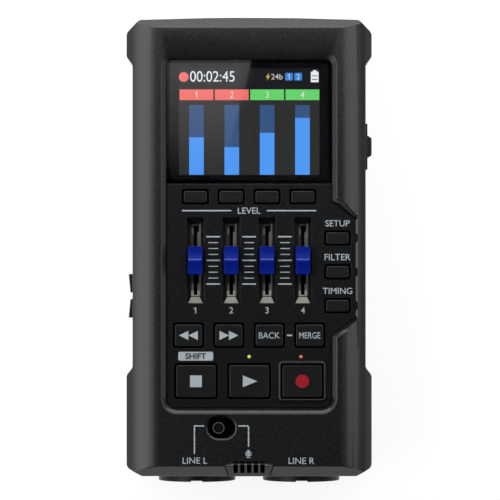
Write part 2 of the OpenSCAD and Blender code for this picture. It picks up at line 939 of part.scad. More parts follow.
module control_panel() {
    color(panel_black)
    difference() {
        union() {
            slab(z_under, z_panel)
                intersection() {
                    panel_floor(fit);
                    translate([-2 * body_l, y_seam - fit - 4 * body_l])
                        square(4 * body_l);
                }
            translate([transport_x(2), y_top - transport_pos, 0])
                slab(z_under, z_panel + guard_rise)
                    round_rect(transport_key_w + 2 * key_gap + 2 * guard_t,
                               transport_key_l + 2 * key_gap + 2 * guard_t, key_r + guard_t);
        }
        for (i = TRACKS) {
            key_hole(col_x(i), y_top - track_pos, track_key_w, track_key_l);
            key_hole(nav_x(i), y_top - nav_pos, nav_key_w, nav_key_l);
            translate([col_x(i), y_slot, 0])
                slab(z_split, z_face)
                    round_rect(slot_w, slot_l, slot_r);
        }
        for (i = [0 : 2]) {
            key_hole(side_key_x, side_key_y(i), side_key_w, side_key_l);
            key_hole(transport_x(i), y_top - transport_pos, transport_key_w, transport_key_l);
        }
        for (x = light_places)
            translate([x, y_top - light_pos, z_split])
                cylinder(r = light_r + fit, h = z_face - z_split);
    }
}

module key_hole(x, y, w, l) {
    translate([x, y, 0])
        slab(z_split, z_face + guard_rise)
            round_rect(w + 2 * key_gap, l + 2 * key_gap, key_r);
}

// A key with the lip that holds it under the panel and the stem over its switch
module key(x, y, w, l, rise) {
    lip = key_gap + key_lip;
    lip_top = z_under - flange_gap;
    color(key_black)
    translate([x, y, 0]) {
        slab(lip_top - flange_t, z_panel + rise)
            round_rect(w, l, key_r);
        slab(lip_top - flange_t, lip_top)
            round_rect(w + 2 * lip, l + 2 * lip, key_r);
        slab(z_switch_top + key_travel + stem_gap, lip_top)
            circle(stem_r);
    }
}

module track_key(i) {
    key(col_x(i), y_top - track_pos, track_key_w, track_key_l, small_rise);
}

module side_key(i) {
    key(side_key_x, side_key_y(i), side_key_w, side_key_l, small_rise);
}

module nav_key(i) {
    key(nav_x(i), y_top - nav_pos, nav_key_w, nav_key_l, large_rise);
}

module transport_key(i) {
    key(transport_x(i), y_top - transport_pos, transport_key_w, transport_key_l, large_rise);
}

module key_switch(x, y) {
    translate([x, y, 0]) {
        slab(z_control_top, z_control_top + switch_h)
            square(switch_w, center = true);
        slab(z_control_top, z_switch_top)
            circle(plunger_r);
    }
}

module key_switches() {
    color("#303034") {
        for (i = TRACKS) {
            key_switch(col_x(i), y_top - track_pos);
            key_switch(nav_x(i), y_top - nav_pos);
        }
        for (i = [0 : 2]) {
            key_switch(side_key_x, side_key_y(i));
            key_switch(transport_x(i), y_top - transport_pos);
        }
    }
}

module light_pipe(x) {
    base_r = 1.1;
    base_h = 3;
    translate([x, y_top - light_pos, 0]) {
        slab(z_control_top, z_panel + light_rise)
            circle(light_r);
        slab(z_control_top, z_control_top + base_h)
            circle(base_r);
    }
}

module play_light() {
    color("#a8e04a")
        light_pipe(light_places[0]);
}

module record_light() {
    color("#e05050")
        light_pipe(light_places[1]);
}

module display_window() {
    color("#0c0c10")
    slab(z_under, z_panel)
        intersection() {
            panel_rect(window_gap);
            translate([-2 * body_l, y_seam + window_gap])
                square(4 * body_l);
        }
}

module lcd_module() {
    color("#3a4048")
    translate([0, lcd_y, 0])
        slab(z_lcd_top - lcd_t, z_lcd_top)
            square([lcd_w, lcd_l], center = true);
}

module lcd_holder() {
    inside = 4;
    color("#e6e4dc")
    translate([0, lcd_y, 0])
        slab(z_control_top, z_lcd_top - lcd_t)
            difference() {
                square([lcd_w + 2 * lcd_rim, lcd_l + 2 * lcd_rim], center = true);
                square([lcd_w - 2 * inside, lcd_l - 2 * inside], center = true);
            }
}

module lcd_ribbon() {
    t = 0.25;
    drop = 0.9;
    ribbon_w = 16;
    y1 = lcd_y - lcd_l / 2;
    z1 = z_lcd_top - lcd_t / 2;
    color("#b8863a")
    along_x(ribbon_w)
        polygon([
            [y1, z1], [y1 - drop, z1], [y1 - drop, z_control_top], [y1 - drop + t, z_control_top],
            [y1 - drop + t, z1 - t], [y1, z1 - t]
        ]);
}

// Control board: wide behind the keys, narrower beside the upper screw bosses
module control_board() {
    side_gap = 2.4;
    boss_gap = 0.8;
    end_gap = 1.2;
    step_gap = 1.5;
    lcd_over = 3;
    upper_half_w = boss_x - boss_r - boss_gap;
    edge_half = inner_half - side_gap;
    y0 = y_jack_rear + end_gap;
    y_step = upper_boss_y - boss_r - step_gap;
    y1 = lcd_y + lcd_l / 2 + lcd_over;
    color(board_green)
    difference() {
        slab(z_control, z_control_top) {
            translate([-edge_half, y0])
                square([2 * edge_half, y_step - y0]);
            translate([-upper_half_w, y0])
                square([2 * upper_half_w, y1 - y0]);
        }
        for (p = control_post_places)
            translate([p[0], p[1], z_control - overcut])
                cylinder(r = board_screw_r + slack, h = board_t + 2 * overcut);
    }
}

module main_board() {
    side_gap = 1.2;
    jack_board_gap = 0.2;
    step_gap = 1.5;
    half = inner_half - side_gap;
    y0 = y_jack_rear + board_t + jack_board_gap;
    y1 = upper_boss_y - boss_r - step_gap;
    color(board_green)
    difference() {
        slab(z_main, z_main_top)
            translate([-half, y0])
                square([2 * half, y1 - y0]);
        for (p = main_post_places)
            translate([p[0], p[1], z_main - overcut])
                cylinder(r = board_screw_r + slack, h = board_t + 2 * overcut);
    }
}

module jack_board() {
    margin = 1;
    top_gap = 0.4;
    half = jack_pitch / 2 + jack_r + margin;
    z0 = z_split - jack_r - margin;
    color(board_green)
    translate([-half, y_jack_rear, z0])
        cube([2 * half, board_t, z_control - top_gap - z0]);
}

module board_connector() {
    connector_w = 18;
    connector_l = 5;
    color("#202024")
    translate([-fader_pitch - connector_w / 2, y_slot + connector_l, z_main_top])
        cube([connector_w, connector_l, board_gap]);
}

module board_screws() {
    color("silver") {
        for (p = control_post_places)
            translate([p[0], p[1], 0]) {
                slab(z_control - board_head_h, z_control)
                    circle(board_head_r);
                slab(z_control - board_head_h, z_control + board_screw_l)
                    circle(board_screw_r);
            }
        for (p = main_post_places)
            translate([p[0], p[1], 0]) {
                slab(z_main_top, z_main_top + board_head_h)
                    circle(board_head_r);
                slab(z_main_top - board_screw_l, z_main_top + board_head_h)
                    circle(board_screw_r);
            }
    }
}

module case_screws() {
    cross_l = 3;
    cross_w = 0.8;
    cross_depth = 0.8;
    color("silver")
    for (p = case_boss_places)
        translate([p[0], p[1], 0])
            difference() {
                union() {
                    slab(head_seat - head_h, head_seat)
                        circle(head_r);
                    slab(head_seat - head_h, head_seat + screw_l)
                        circle(screw_r);
                }
                for (turn = [0, 90])
                    rotate(turn)
                        translate([0, 0, head_seat - head_h])
                            cube([cross_l, cross_w, 2 * cross_depth], center = true);
            }
}

// Sheet-metal fader: a channel with a slot for the lever and a sloping tab at each end
module fader_frame() {
    half_l = slot_l / 2 + frame_over;
    room_w = frame_w - 2 * frame_sheet;
    room_l = fader_travel + carriage_l + 4 * slack;
    tab_l = 2.6;
    tab_t = 0.5;
    tab_gap = 0.4;
    tab_end = 1.45;
    tab_root = 2.45;
    difference() {
        slab(z_control_top, z_frame_top)
            square([frame_w, 2 * half_l], center = true);
        slab(z_control_top + frame_sheet, z_frame_top - frame_sheet)
            square([room_w, room_l], center = true);
        slab(z_frame_top - 2 * frame_sheet, z_frame_top + overcut)
            square([lever_t + 2 * slack, fader_travel + lever_l + 2 * slack], center = true);
    }
    for (s = [0, 1])
        mirror([0, s, 0])
            intersection() {
                along_x(frame_w)
                    polygon([
                        [slot_l / 2 - tab_l, z_frame_top], [slot_l / 2, z_under - tab_gap],
                        [slot_l / 2, z_frame_top - tab_t], [slot_l / 2 - tab_l, z_frame_top - tab_t]
                    ]);
                slab(z_control_top, z_under)
                    polygon([
                        [-tab_end, slot_l / 2 - tab_l], [tab_end, slot_l / 2 - tab_l],
                        [tab_root, slot_l / 2], [-tab_root, slot_l / 2]
                    ]);
            }
}

module fader_frames() {
    color(steel)
    for (i = TRACKS)
        translate([col_x(i), y_slot, 0])
            fader_frame();
}

module fader_lever(i) {
    side_gap = 0.6;
    carriage_w = frame_w - 2 * frame_sheet - 2 * side_gap;
    z0 = z_control_top + frame_sheet + slack;
    z1 = z_frame_top - frame_sheet - slack;
    color("#b8b4aa")
    translate([col_x(i), y_slot, 0]) {
        slab(z0, z1)
            square([carriage_w, carriage_l], center = true);
        slab(z0, cap_bottom + cap_socket)
            square([lever_t, lever_l], center = true);
    }
}

// Cap with a ridge across its middle and a hollow for a fingertip on each side of it
module fader_cap(i) {
    ridge = 0.5;
    cap_r = 0.5;
    scoop_r = 8;
    scoop_depth = 0.7;
    scoop_y = ridge + sqrt(pow(scoop_r, 2) - pow(scoop_r - scoop_depth, 2));
    color("#1525a5")
    translate([col_x(i), y_slot, cap_bottom])
        difference() {
            linear_extrude(cap_h)
                round_rect(cap_w, cap_l, cap_r);
            for (s = [-1, 1])
                translate([0, s * scoop_y, cap_h + scoop_r - scoop_depth])
                    rotate([0, 90, 0])
                        cylinder(r = scoop_r, h = 2 * cap_w, center = true);
            translate([0, 0, -overcut])
                linear_extrude(cap_socket + fit + overcut)
                    square([lever_t + fit, lever_l + fit], center = true);
        }
}

// Combined input jack: plug bore in the middle, ring groove round it and three contacts between
module input_jack(x) {
    outer_y = y_bottom - bezel_t;
    notch_w = 3.9;
    notch_depth = 0.5;
    color("#1b1b1d")
    translate([x, 0, z_split])
        difference() {
            union() {
                rod_y(bezel_r, outer_y, bezel_t);
                rod_y(jack_r, outer_y, bezel_t + jack_depth);
            }
            rod_y(plug_bore_r, outer_y - overcut, plug_bore_l + overcut);
            difference() {
                rod_y(ring_outer_r, outer_y - overcut, ring_depth + overcut);
                rod_y(ring_inner_r, outer_y - overcut, ring_depth + overcut);
            }
            for (a = contact_angles)
                translate([contact_circle * cos(a), 0, contact_circle * sin(a)])
                    rod_y(contact_r + fit, outer_y - overcut, contact_l + overcut);
            translate([-notch_w / 2, outer_y - overcut, ring_outer_r - notch_depth])
                cube([notch_w, overcut + notch_depth, bezel_r]);
        }
}

module jack_contacts() {
    sunk = 0.6;
    root = 1;
    color("#c9a24a")
    for (s = [-1, 1], a = contact_angles)
        translate([s * jack_pitch / 2 + contact_circle * cos(a), 0, z_split + contact_circle * sin(a)])
            difference() {
                rod_y(contact_r, y_bottom - bezel_t + sunk, contact_l - sunk);
                rod_y(contact_bore_r, y_bottom - bezel_t, contact_l - root);
            }
}

module mic_boot() {
    color("#222222")
    translate([0, mic_y, z_ceiling - boot_l])
        difference() {
            cylinder(r = mic_r + fit + boot_t, h = boot_l);
            translate([0, 0, boot_floor])
                cylinder(r = mic_r + fit, h = boot_l);
        }
}

module mic_capsule() {
    color("silver")
    translate([0, mic_y, z_ceiling - boot_l + boot_floor])
        cylinder(r = mic_r, h = boot_l - 2 * boot_floor);
}

module selector_body() {
    body_w = 5;
    body_h = 3.3;
    body_over = 3.5;
    room_h = 2;
    z1 = selector_floor - wall / 2;
    color("#202022")
    translate([selector_x, selector_y, 0])
        difference() {
            slab(z1 - body_h, z1)
                square([selector_travel + 2 * body_over, body_w], center = true);
            slab(z1 - room_h, z1 + overcut)
                stadium(selector_travel, selector_stem_r + slack);
        }
}

module selector_knob() {
    sunk = 0.4;
    stem_in = 1.6;
    color("#2c2c2e")
    translate([selector_x - selector_half, selector_y, 0]) {
        slab(selector_floor + slack, z_face - sunk)
            circle(selector_r);
        slab(selector_floor - wall / 2 - stem_in, z_face - sunk)
            circle(selector_stem_r);
    }
}

module power_switch() {
    side_t = 1.2;
    top_over = 3.2;
    color("#202022")
    difference() {
        translate([inner_half - power_depth, power_y - power_slot_l / 2 - side_t, z_control_top])
            cube([power_depth, power_slot_l + 2 * side_t, power_rise + top_over]);
        translate([inner_half, power_y, z_power])
            cube([2 * (power_stem_in + 2 * slack), power_slot_l, power_stem_h + 2 * slack], center = true);
    }
}

module power_bezel() {
    x0 = body_half - power_seat;
    x1 = body_half + power_proud;
    track_l = power_knob_l + 2 * power_travel + 2 * slack;
    color("#242426")
    difference() {
        translate([x0, power_y - power_bezel_l / 2, z_power - power_bezel_h / 2])
            cube([x1 - x0, power_bezel_l, power_bezel_h]);
        translate([x1 - power_track, power_y - track_l / 2, z_power - power_knob_h / 2 - slack])
            cube([power_track + overcut, track_l, power_knob_h + 2 * slack]);
        translate([body_half, power_y, z_power])
            cube([6 * wall, power_slot_l, power_stem_h + 2 * slack], center = true);
    }
}

module power_slider() {
    x0 = body_half + power_proud - power_track + slack;
    x1 = body_half + power_knob_out;
    half = power_knob_l / 2;
    edge = 0.3;
    rim = 1;
    x_rim = x0 + edge;
    stem_x0 = inner_half - power_stem_in;
    color(case_grey) {
        translate([0, power_y, z_power - power_knob_h / 2])
            linear_extrude(power_knob_h)
                polygon([[x0, -half], [x_rim, -half], [x1, rim - half], [x1, half - rim],
                         [x_rim, half], [x0, half]]);
        translate([stem_x0, power_y - power_stem_l / 2, z_power - power_stem_h / 2])
            cube([x_rim - stem_x0, power_stem_l, power_stem_h]);
    }
}

// Volume key: a wedge that stands out most at its far end, held by a lip inside the wall
module volume_key(i) {
    s = i == 0 ? 1 : -1;
    half = volume_key_l / 2;
    lip = slack + volume_lip;
    x_lip = -inner_half + flange_gap;
    color(case_grey)
    translate([0, volume_y(i), z_volume - volume_key_h / 2]) {
        linear_extrude(volume_key_h)
            polygon([[x_lip + flange_t, -half], [x_lip + flange_t, half],
                     [-body_half - (s > 0 ? volume_out_far : volume_out_near), half],
                     [-body_half - (s > 0 ? volume_out_near : volume_out_far), -half]]);
        translate([x_lip, -half - lip, -lip])
            cube([flange_t, volume_key_l + 2 * lip, volume_key_h + 2 * lip]);
    }
}

module volume_switches() {
    x0 = -inner_half + flange_gap + flange_t + key_travel + stem_gap;
    color("#303034")
    for (i = [0, 1])
        translate([x0, volume_y(i) - switch_w / 2, z_control - switch_h])
            cube([switch_w, switch_w, switch_h]);
}

// Headphone jack on the left side, its collar flush with the wall
module phones_jack() {
    body_w = 6.4;
    body_depth = 14;
    body_x = -inner_half + fit;
    collar_in = 0.5;
    color("#1b1b1d")
    translate([0, y_top - phones_pos, z_phones])
        difference() {
            union() {
                rod_x(phones_collar_r, -body_half, wall + collar_in);
                translate([body_x, -body_w / 2, z_main_top - z_phones])
                    cube([body_depth, body_w, 2 * phones_collar_r]);
            }
            rod_x(phones_bore_r, -body_half - overcut, phones_bore_l + overcut);
        }
}

module usb_socket() {
    l = 9;
    sunk = 0.4;
    sheet = 0.3;
    back_t = 2;
    tongue_w = 6.6;
    tongue_t = 0.7;
    tongue_in = 1;
    x1 = body_half - sunk;
    color("silver")
    translate([x1 - l, usb_y, z_usb])
        rotate([90, 0, 90]) {
            difference() {
                linear_extrude(l)
                    stadium(usb_w - usb_h, usb_h / 2);
                translate([0, 0, back_t])
                    linear_extrude(l)
                        stadium(usb_w - usb_h, usb_h / 2 - sheet);
            }
            linear_extrude(l - tongue_in)
                square([tongue_w, tongue_t], center = true);
        }
}

module card_socket() {
    l = 15;
    slot_half = 5.6;
    sunk = 0.3;
    sheet = 0.4;
    back_t = 2;
    x1 = inner_half - sunk;
    color("silver")
    difference() {
        translate([x1 - l, card_y - card_body_w / 2, z_main_top])
            cube([l, card_body_w, card_h]);
        translate([x1 - l + back_t, card_y - slot_half, z_main_top + sheet])
            cube([l, 2 * slot_half, card_h - 2 * sheet]);
    }
}

module battery_tray() {
    half = bay_half + tray_t;
    color("#26262a")
    difference() {
        translate([-half, tray_y0, z_floor])
            cube([2 * half, bay_y1 + tray_t - tray_y0, z_tray + tray_t - z_floor]);
        translate([-bay_half, bay_y0, z_floor - overcut])
            cube([2 * bay_half, bay_y1 - bay_y0, z_tray - z_floor + overcut]);
    }
}

function cell_x(i) = (i - 1.5) * cell_pitch;

module battery_cells() {
    color("#7a7f88")
    for (i = TRACKS)
        translate([cell_x(i), (cells_y0 + cells_y1) / 2, z_cell])
            rotate([i % 2 == 0 ? 90 : -90, 0, 0])
                translate([0, 0, -cell_l / 2]) {
                    cylinder(r = cell_d / 2, h = cell_l - nub_l);
                    cylinder(r = nub_r, h = cell_l);
                }
}

// One contact plate at each end of each cell
module battery_contacts() {
    plate_t = 0.5;
    plate_w = 10;
    bump_r = 2.5;
    color("#c8c4b8")
    for (i = TRACKS)
        for (end = [0, 1]) {
            y = end == 0 ? bay_y0 : bay_y1 - plate_t;
            translate([cell_x(i) - plate_w / 2, y, z_cell - plate_w / 2])
                cube([plate_w, plate_t, plate_w]);
            translate([cell_x(i), end == 0 ? bay_y0 : cells_y1, z_cell])
                rod_y(bump_r, 0, contact_room);
        }
}

module rubber_feet() {
    color("#161616")
    for (x = [-1, 1], y = foot_places_y)
        translate([x * foot_x, y, 0])
            cylinder(r = foot_r, h = z_rear + foot_seat);
}

front_case();
rear_case();
control_panel();
display_window();
lcd_module();
lcd_holder();
lcd_ribbon();
control_board();
main_board();
jack_board();
board_connector();
fader_frames();
key_switches();
play_light();
record_light();
input_jack(-jack_pitch / 2);  // input_jack_left
input_jack(jack_pitch / 2);  // input_jack_right
jack_contacts();
mic_capsule();
mic_boot();
selector_body();
selector_knob();
power_switch();
power_bezel();
power_slider();
volume_switches();
volume_key(0);  // volume_up_key
volume_key(1);  // volume_down_key
phones_jack();
usb_socket();
card_socket();
battery_tray();
battery_contacts();
battery_cells();
battery_door();
rubber_feet();
case_screws();
board_screws();
for (i = TRACKS) {
    fader_lever(i);
    fader_cap(i);
    track_key(i);
}
side_key(0);  // input_key
side_key(1);  // effect_key
side_key(2);  // rhythm_key
nav_key(0);  // rewind_key
nav_key(1);  // forward_key
nav_key(2);  // undo_key
nav_key(3);  // bounce_key
transport_key(0);  // stop_key
transport_key(1);  // play_key
transport_key(2);  // record_key
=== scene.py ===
"""Finishes, prints and stage for a handheld four-track recorder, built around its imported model."""

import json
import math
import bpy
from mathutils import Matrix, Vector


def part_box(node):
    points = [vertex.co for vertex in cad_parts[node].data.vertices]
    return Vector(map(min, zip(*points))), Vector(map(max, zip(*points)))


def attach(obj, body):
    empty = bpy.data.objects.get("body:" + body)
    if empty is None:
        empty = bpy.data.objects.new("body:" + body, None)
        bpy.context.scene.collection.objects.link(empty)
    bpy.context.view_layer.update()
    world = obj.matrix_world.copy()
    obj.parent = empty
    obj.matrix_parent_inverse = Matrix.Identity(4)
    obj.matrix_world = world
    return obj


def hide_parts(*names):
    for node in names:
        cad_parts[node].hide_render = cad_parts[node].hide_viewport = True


bl_info = {
    "name": "Handheld Recorder",
    "version": (1, 0, 0),
    "blender": (4, 5, 0),
    "location": "View3D > Sidebar > Recorder",
    "description": "Builds the finished pieces of a handheld four-track recorder and a plain stage for it",
    "category": "Object",
}

import bmesh
import bpy
from bpy.props import FloatProperty, FloatVectorProperty, PointerProperty
from mathutils import Matrix, Vector

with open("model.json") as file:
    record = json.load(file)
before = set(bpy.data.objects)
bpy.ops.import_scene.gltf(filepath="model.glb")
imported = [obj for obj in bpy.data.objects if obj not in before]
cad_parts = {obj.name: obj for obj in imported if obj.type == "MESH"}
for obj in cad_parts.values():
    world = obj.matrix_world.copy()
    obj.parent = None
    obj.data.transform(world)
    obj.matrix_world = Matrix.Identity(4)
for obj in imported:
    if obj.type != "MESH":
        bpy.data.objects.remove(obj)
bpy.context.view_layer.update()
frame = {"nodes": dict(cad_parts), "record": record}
NODES = frame["nodes"]
MM = 0.001
CASE = "case"
TRACKS = (1, 2, 3, 4)
SIDES = (-1, 1)
BLACK, WHITE = (0.0, 0.0, 0.0), (1.0, 1.0, 1.0)
# Prints start this far down inside what carries them
ROOT = 0.05 * MM
# Levels closer than this are the same
SAME = 1e-6
KNOB_BELOW_FACE = 0.4 * MM
# The colour sockets of a mix node, by place, since its other sockets share their names
MIX_FIRST, MIX_SECOND, MIX_RESULT = 6, 7, 2
# What is left of a colour under painted shade down in a gap and in a well
GAP_SHADE, WELL_SHADE = 0.12, 0.1
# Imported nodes: points closer than WELD are one, and faces within FLAT_ANGLE degrees are one face
WELD, FLAT_ANGLE = 3e-6, 1.0
# Edges sharper than this are rounded, and those under the other angle are shaded smooth, in degrees
SHARP_ANGLE, SMOOTH_ANGLE = 32.0, 46.0

SIDE_KEYS = {"input_key": "SETUP", "effect_key": "FILTER", "rhythm_key": "TIMING"}
TRACK_KEYS = [f"track_key_{i}" for i in TRACKS]
ROW_KEYS = ["rewind_key", "forward_key", "undo_key", "bounce_key"]
DECK_KEYS = ["stop_key", "play_key", "record_key"]
ALL_KEYS = [*TRACK_KEYS, *SIDE_KEYS, *ROW_KEYS, *DECK_KEYS]


def tint(code):
    """A colour as it stands on a chart, as the linear values that shaders take."""
    parts = [int(code[i : i + 2], 16) / 255 for i in (0, 2, 4)]
    return tuple(c / 12.92 if c <= 0.04045 else ((c + 0.055) / 1.055) ** 2.4 for c in parts)


def mm(*lengths):
    """Lengths given in millimetres."""
    return tuple(length * MM for length in lengths)


def top_of(node):
    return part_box(node)[1].z


def middle_of(node):
    low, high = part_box(node)
    return (low + high) / 2


def face_level():
    """Height of the flat face, which the selector knob stays just below."""
    return top_of("selector_knob") + KNOB_BELOW_FACE


def length_prop(name, description, size):
    return FloatProperty(
        name=name, description=description, default=size * MM, min=0.0, unit="LENGTH", precision=5
    )


def colour_prop(name, description, code):
    return FloatVectorProperty(
        name=name, description=description, default=tint(code), subtype="COLOR", min=0.0, max=1.0
    )


def glow_prop(name, description, value):
    return FloatProperty(name=name, description=description, default=value, min=0.0)


class RecorderSizes(bpy.types.PropertyGroup):
    """Radii of the edges, measures of the recess's rim and sizes of the prints."""

    shell_edge: length_prop("Shell edge", "Radius along the edges of the case", 0.25)
    bowl_edge: length_prop("Bowl edge", "Radius along the rim round the input selector", 0.4)
    rim_drop: length_prop("Rim drop", "Height of the eased rim round the panel recess", 1.25)
    rim_ease: length_prop("Rim ease", "How far the recess walls are set in below the eased rim", 0.72)
    rim_head: length_prop("Rim at the head", "How much wider the eased rim is at the display end", 1.0)
    rim_foot: length_prop("Rim at the foot", "How much wider and shallower the rim is at the lower end", 0.45)
    rim_side: length_prop("Rim beside the keys", "How far the low wall beside the side keys is set in", 0.54)
    panel_edge: length_prop("Panel edge", "Radius along the holes of the panel", 0.16)
    # The bevel looks dark because the panel's painted gap shade darkens it
    hole_edge: length_prop("Hole edge", "Width of the dark bevel round the key holes", 0.28)
    key_edge: length_prop("Key edge", "Radius along the edges of the keys", 0.32)
    cap_edge: length_prop("Cap edge", "Radius along the edges of the fader caps", 0.34)
    fitting_edge: length_prop("Fitting edge", "Radius along the edges of jacks and side controls", 0.25)
    print_height: length_prop("Print height", "How far the prints stand above what carries them", 0.02)
    letter_height: length_prop("Letter height", "Height of the capitals on the panel", 2.2)
    line_width: length_prop("Line width", "Width of the printed lines", 0.46)


class RecorderColours(bpy.types.PropertyGroup):
    """Colours of the mouldings, prints and lit parts."""

    case: colour_prop("Case", "Moulded case halves", "0c0c0d")
    panel: colour_prop("Panel", "Control panel", "0b0b0d")
    key: colour_prop("Keys", "Key tops", "111112")
    cap: colour_prop("Fader caps", "Blue fader caps", "03186e")
    cap_line: colour_prop("Cap line", "Line across the fader caps", "4656c0")
    print: colour_prop("Print", "Lines and lettering", "939da3")
    record: colour_prop("Record mark", "Dot on the record key", "8a111d")
    steel: colour_prop("Steel", "Metal of the faders", "989690")
    play_light: colour_prop("Play light", "Green light", "d6e070")
    record_light: colour_prop("Record light", "Red light", "dc7c70")
    screen_red: colour_prop("Screen red", "Armed tracks", "f7746c")
    screen_green: colour_prop("Screen green", "Playing tracks", "6bd86f")
    screen_level: colour_prop("Screen level", "Level bars", "539df9")
    screen_empty: colour_prop("Screen empty", "Unfilled part of the level bars", "3a5784")


class RecorderStage(bpy.types.PropertyGroup):
    """Brightness of the lamps, the surroundings and the card that the window mirrors."""

    left_glow: glow_prop("Left lamp", "Brightness of the lamp on the left", 3.1)
    right_glow: glow_prop("Right lamp", "Brightness of the lamp on the right", 2.15)
    end_glow: glow_prop("End lamp", "Brightness of the lamp beyond the display end", 5.0)
    head_glow: glow_prop("Head lamp", "Brightness of the lamp above the display end", 4.0)
    sky_glow: glow_prop("Sky", "Brightness of the surroundings for diffuse light", 0.05)
    window_glow: glow_prop("Window card", "Brightness of the card that the window mirrors", 0.9)


class Finish:
    """A material in the making: its shader and the textures that feed it."""

    def __init__(self, name):
        self.material = bpy.data.materials.new(name)
        self.material.use_nodes = True
        self.tree = self.material.node_tree
        self.shader = self.tree.nodes["Principled BSDF"]
        self.place = self.tree.nodes.new("ShaderNodeTexCoord").outputs["Object"]

    def fix(self, **values):
        for socket, value in values.items():
            self.shader.inputs[socket.replace("_", " ")].default_value = value
        return self

    def feed(self, socket, output):
        self.tree.links.new(output, self.shader.inputs[socket])
        return self

    def node(self, kind, **inputs):
        made = self.tree.nodes.new(kind)
        for socket, value in inputs.items():
            target = made.inputs[socket.replace("_", " ")]
            if isinstance(value, bpy.types.NodeSocket):
                self.tree.links.new(value, target)
            else:
                target.default_value = value
        return made

    def noise(self, size_mm, detail=2.0, along=None):
        source = self.place
        if along:
            source = self.node("ShaderNodeMapping", Vector=source, Scale=along).outputs["Vector"]
        made = self.node("ShaderNodeTexNoise", Vector=source, Scale=1 / (size_mm * MM), Detail=detail)
        return made.outputs["Fac"]

    def spread(self, value, low, high, start=0.3, stop=0.7):
        ends = {"From_Min": start, "From_Max": stop, "To_Min": low, "To_Max": high}
        return self.node("ShaderNodeMapRange", Value=value, **ends).outputs["Result"]

    def between(self, factor, first, second):
        """A mix of two colours, each given as values or as an output."""
        made = self.tree.nodes.new("ShaderNodeMix")
        made.data_type = "RGBA"
        self.tree.links.new(factor, made.inputs["Factor"])
        for place, colour in ((MIX_FIRST, first), (MIX_SECOND, second)):
            if isinstance(colour, bpy.types.NodeSocket):
                self.tree.links.new(colour, made.inputs[place])
            else:
                made.inputs[place].default_value = (*colour, 1.0)
        return made.outputs[MIX_RESULT]

    def mottled(self, pattern, colour, least, most):
        """A colour that a pattern makes darker and lighter."""
        return self.between(self.spread(pattern, 0, 1), shaded(colour, least), shaded(colour, most))

    def away(self, centre, squeeze=(1.0, 1.0, 1.0)):
        """Distance from a spot, with each way squeezed by its share."""
        narrowed = self.node("ShaderNodeVectorMath", Vector=self.place)
        narrowed.operation = "MULTIPLY"
        narrowed.inputs[1].default_value = squeeze
        made = self.node("ShaderNodeVectorMath", Vector=narrowed.outputs["Vector"])
        made.operation = "DISTANCE"
        made.inputs[1].default_value = Vector(centre) * Vector(squeeze)
        return made.outputs["Value"]

    def relief(self, height, depth_mm):
        made = self.node("ShaderNodeBump", Strength=1.0, Distance=depth_mm * MM, Height=height)
        return self.feed("Normal", made.outputs["Normal"])


def shaded(colour, share):
    return tuple(min(1.0, c * share) for c in colour)


def moulded(
    name, colour, rough, grain_mm=0.3, depth_mm=0.006, variation=0.12, gloss=0.3, gaps=None, well=None
):
    """Moulded plastic with a fine eroded grain, slightly uneven in colour and gloss.

    Painted shade darkens it, and dims its gloss, on the way down between the two levels of its gaps, or into
    a
    well: the centre, the radius, the width of the change and the squeeze of each way.
    """
    made = Finish(name).fix(Specular_IOR_Level=gloss)
    grain = made.noise(grain_mm, 3.0)
    cloud = made.noise(16.0, 2.0)
    base = made.mottled(cloud, colour, 1 - variation, 1 + variation)
    share, least = None, 0.0
    if gaps:
        height = made.node("ShaderNodeSeparateXYZ", Vector=made.place).outputs["Z"]
        share, least = made.spread(height, GAP_SHADE, 1.0, *gaps), GAP_SHADE
    elif well:
        centre, radius, change, squeeze = well
        share = made.spread(made.away(centre, squeeze), WELL_SHADE, 1.0, radius - change, radius)
    if share is not None:
        base = made.between(share, BLACK, base)
        made.feed("Specular IOR Level", made.spread(share, 0.0, gloss, least, 1.0))
    made.feed("Base Color", base)
    made.feed("Roughness", made.spread(grain, rough - 0.07, rough + 0.07))
    return made.relief(grain, depth_mm).material


def ink(name, colour, rough=0.6, gloss=0.5):
    """Screen-printed ink, with the fine mottle of the mesh it was pressed through; it also serves for painted
    shade on the fader caps and a painted highlight on the selector knob.
    """
    made = Finish(name).fix(Specular_IOR_Level=gloss)
    mottle = made.noise(0.25, 2.0)
    made.feed("Base Color", made.mottled(mottle, colour, 0.9, 1.04))
    return made.feed("Roughness", made.spread(mottle, rough - 0.08, rough + 0.08)).material


def sheet_metal(name, colour, rough=0.34, along=(1.0, 0.04, 1.0), depth_mm=0.002, metal=1.0):
    """Rolled or plated metal with fine draw lines along one way."""
    made = Finish(name).fix(Metallic=metal)
    lines = made.noise(0.12, 3.0, along)
    stain = made.noise(4.0, 2.0)
    made.feed("Base Color", made.mottled(stain, colour, 0.82, 1.08))
    made.feed("Roughness", made.spread(lines, rough - 0.1, rough + 0.12))
    return made.relief(lines, depth_mm).material


def lit(name, colour, strength, dot_mm=0.153):
    """A lit area of the display, broken up into its dots."""
    made = Finish(name).fix(Base_Color=(*BLACK, 1), Roughness=0.5, Specular_IOR_Level=0.0)
    made.fix(Emission_Strength=strength)
    dots = made.node("ShaderNodeTexChecker", Vector=made.place, Scale=1 / (dot_mm * MM)).outputs["Fac"]
    made.feed("Emission Color", made.between(dots, shaded(colour, 0.97), shaded(colour, 1.03)))
    return made.material


def matt(name, shade, glow):
    """Matt paper of a grey shade, which glows in a colour."""
    made = Finish(name).fix(Base_Color=(shade, shade, shade, 1), Emission_Color=(*glow, 1))
    return made.fix(Roughness=1.0, Specular_IOR_Level=0.0)


def block(bm, low, high):
    """A box between two corners."""
    low, high = Vector(low), Vector(high)
    place = Matrix.Translation((low + high) / 2) @ Matrix.Diagonal((*(high - low), 1.0))
    return bmesh.ops.create_cube(bm, size=1.0, matrix=place)["verts"]


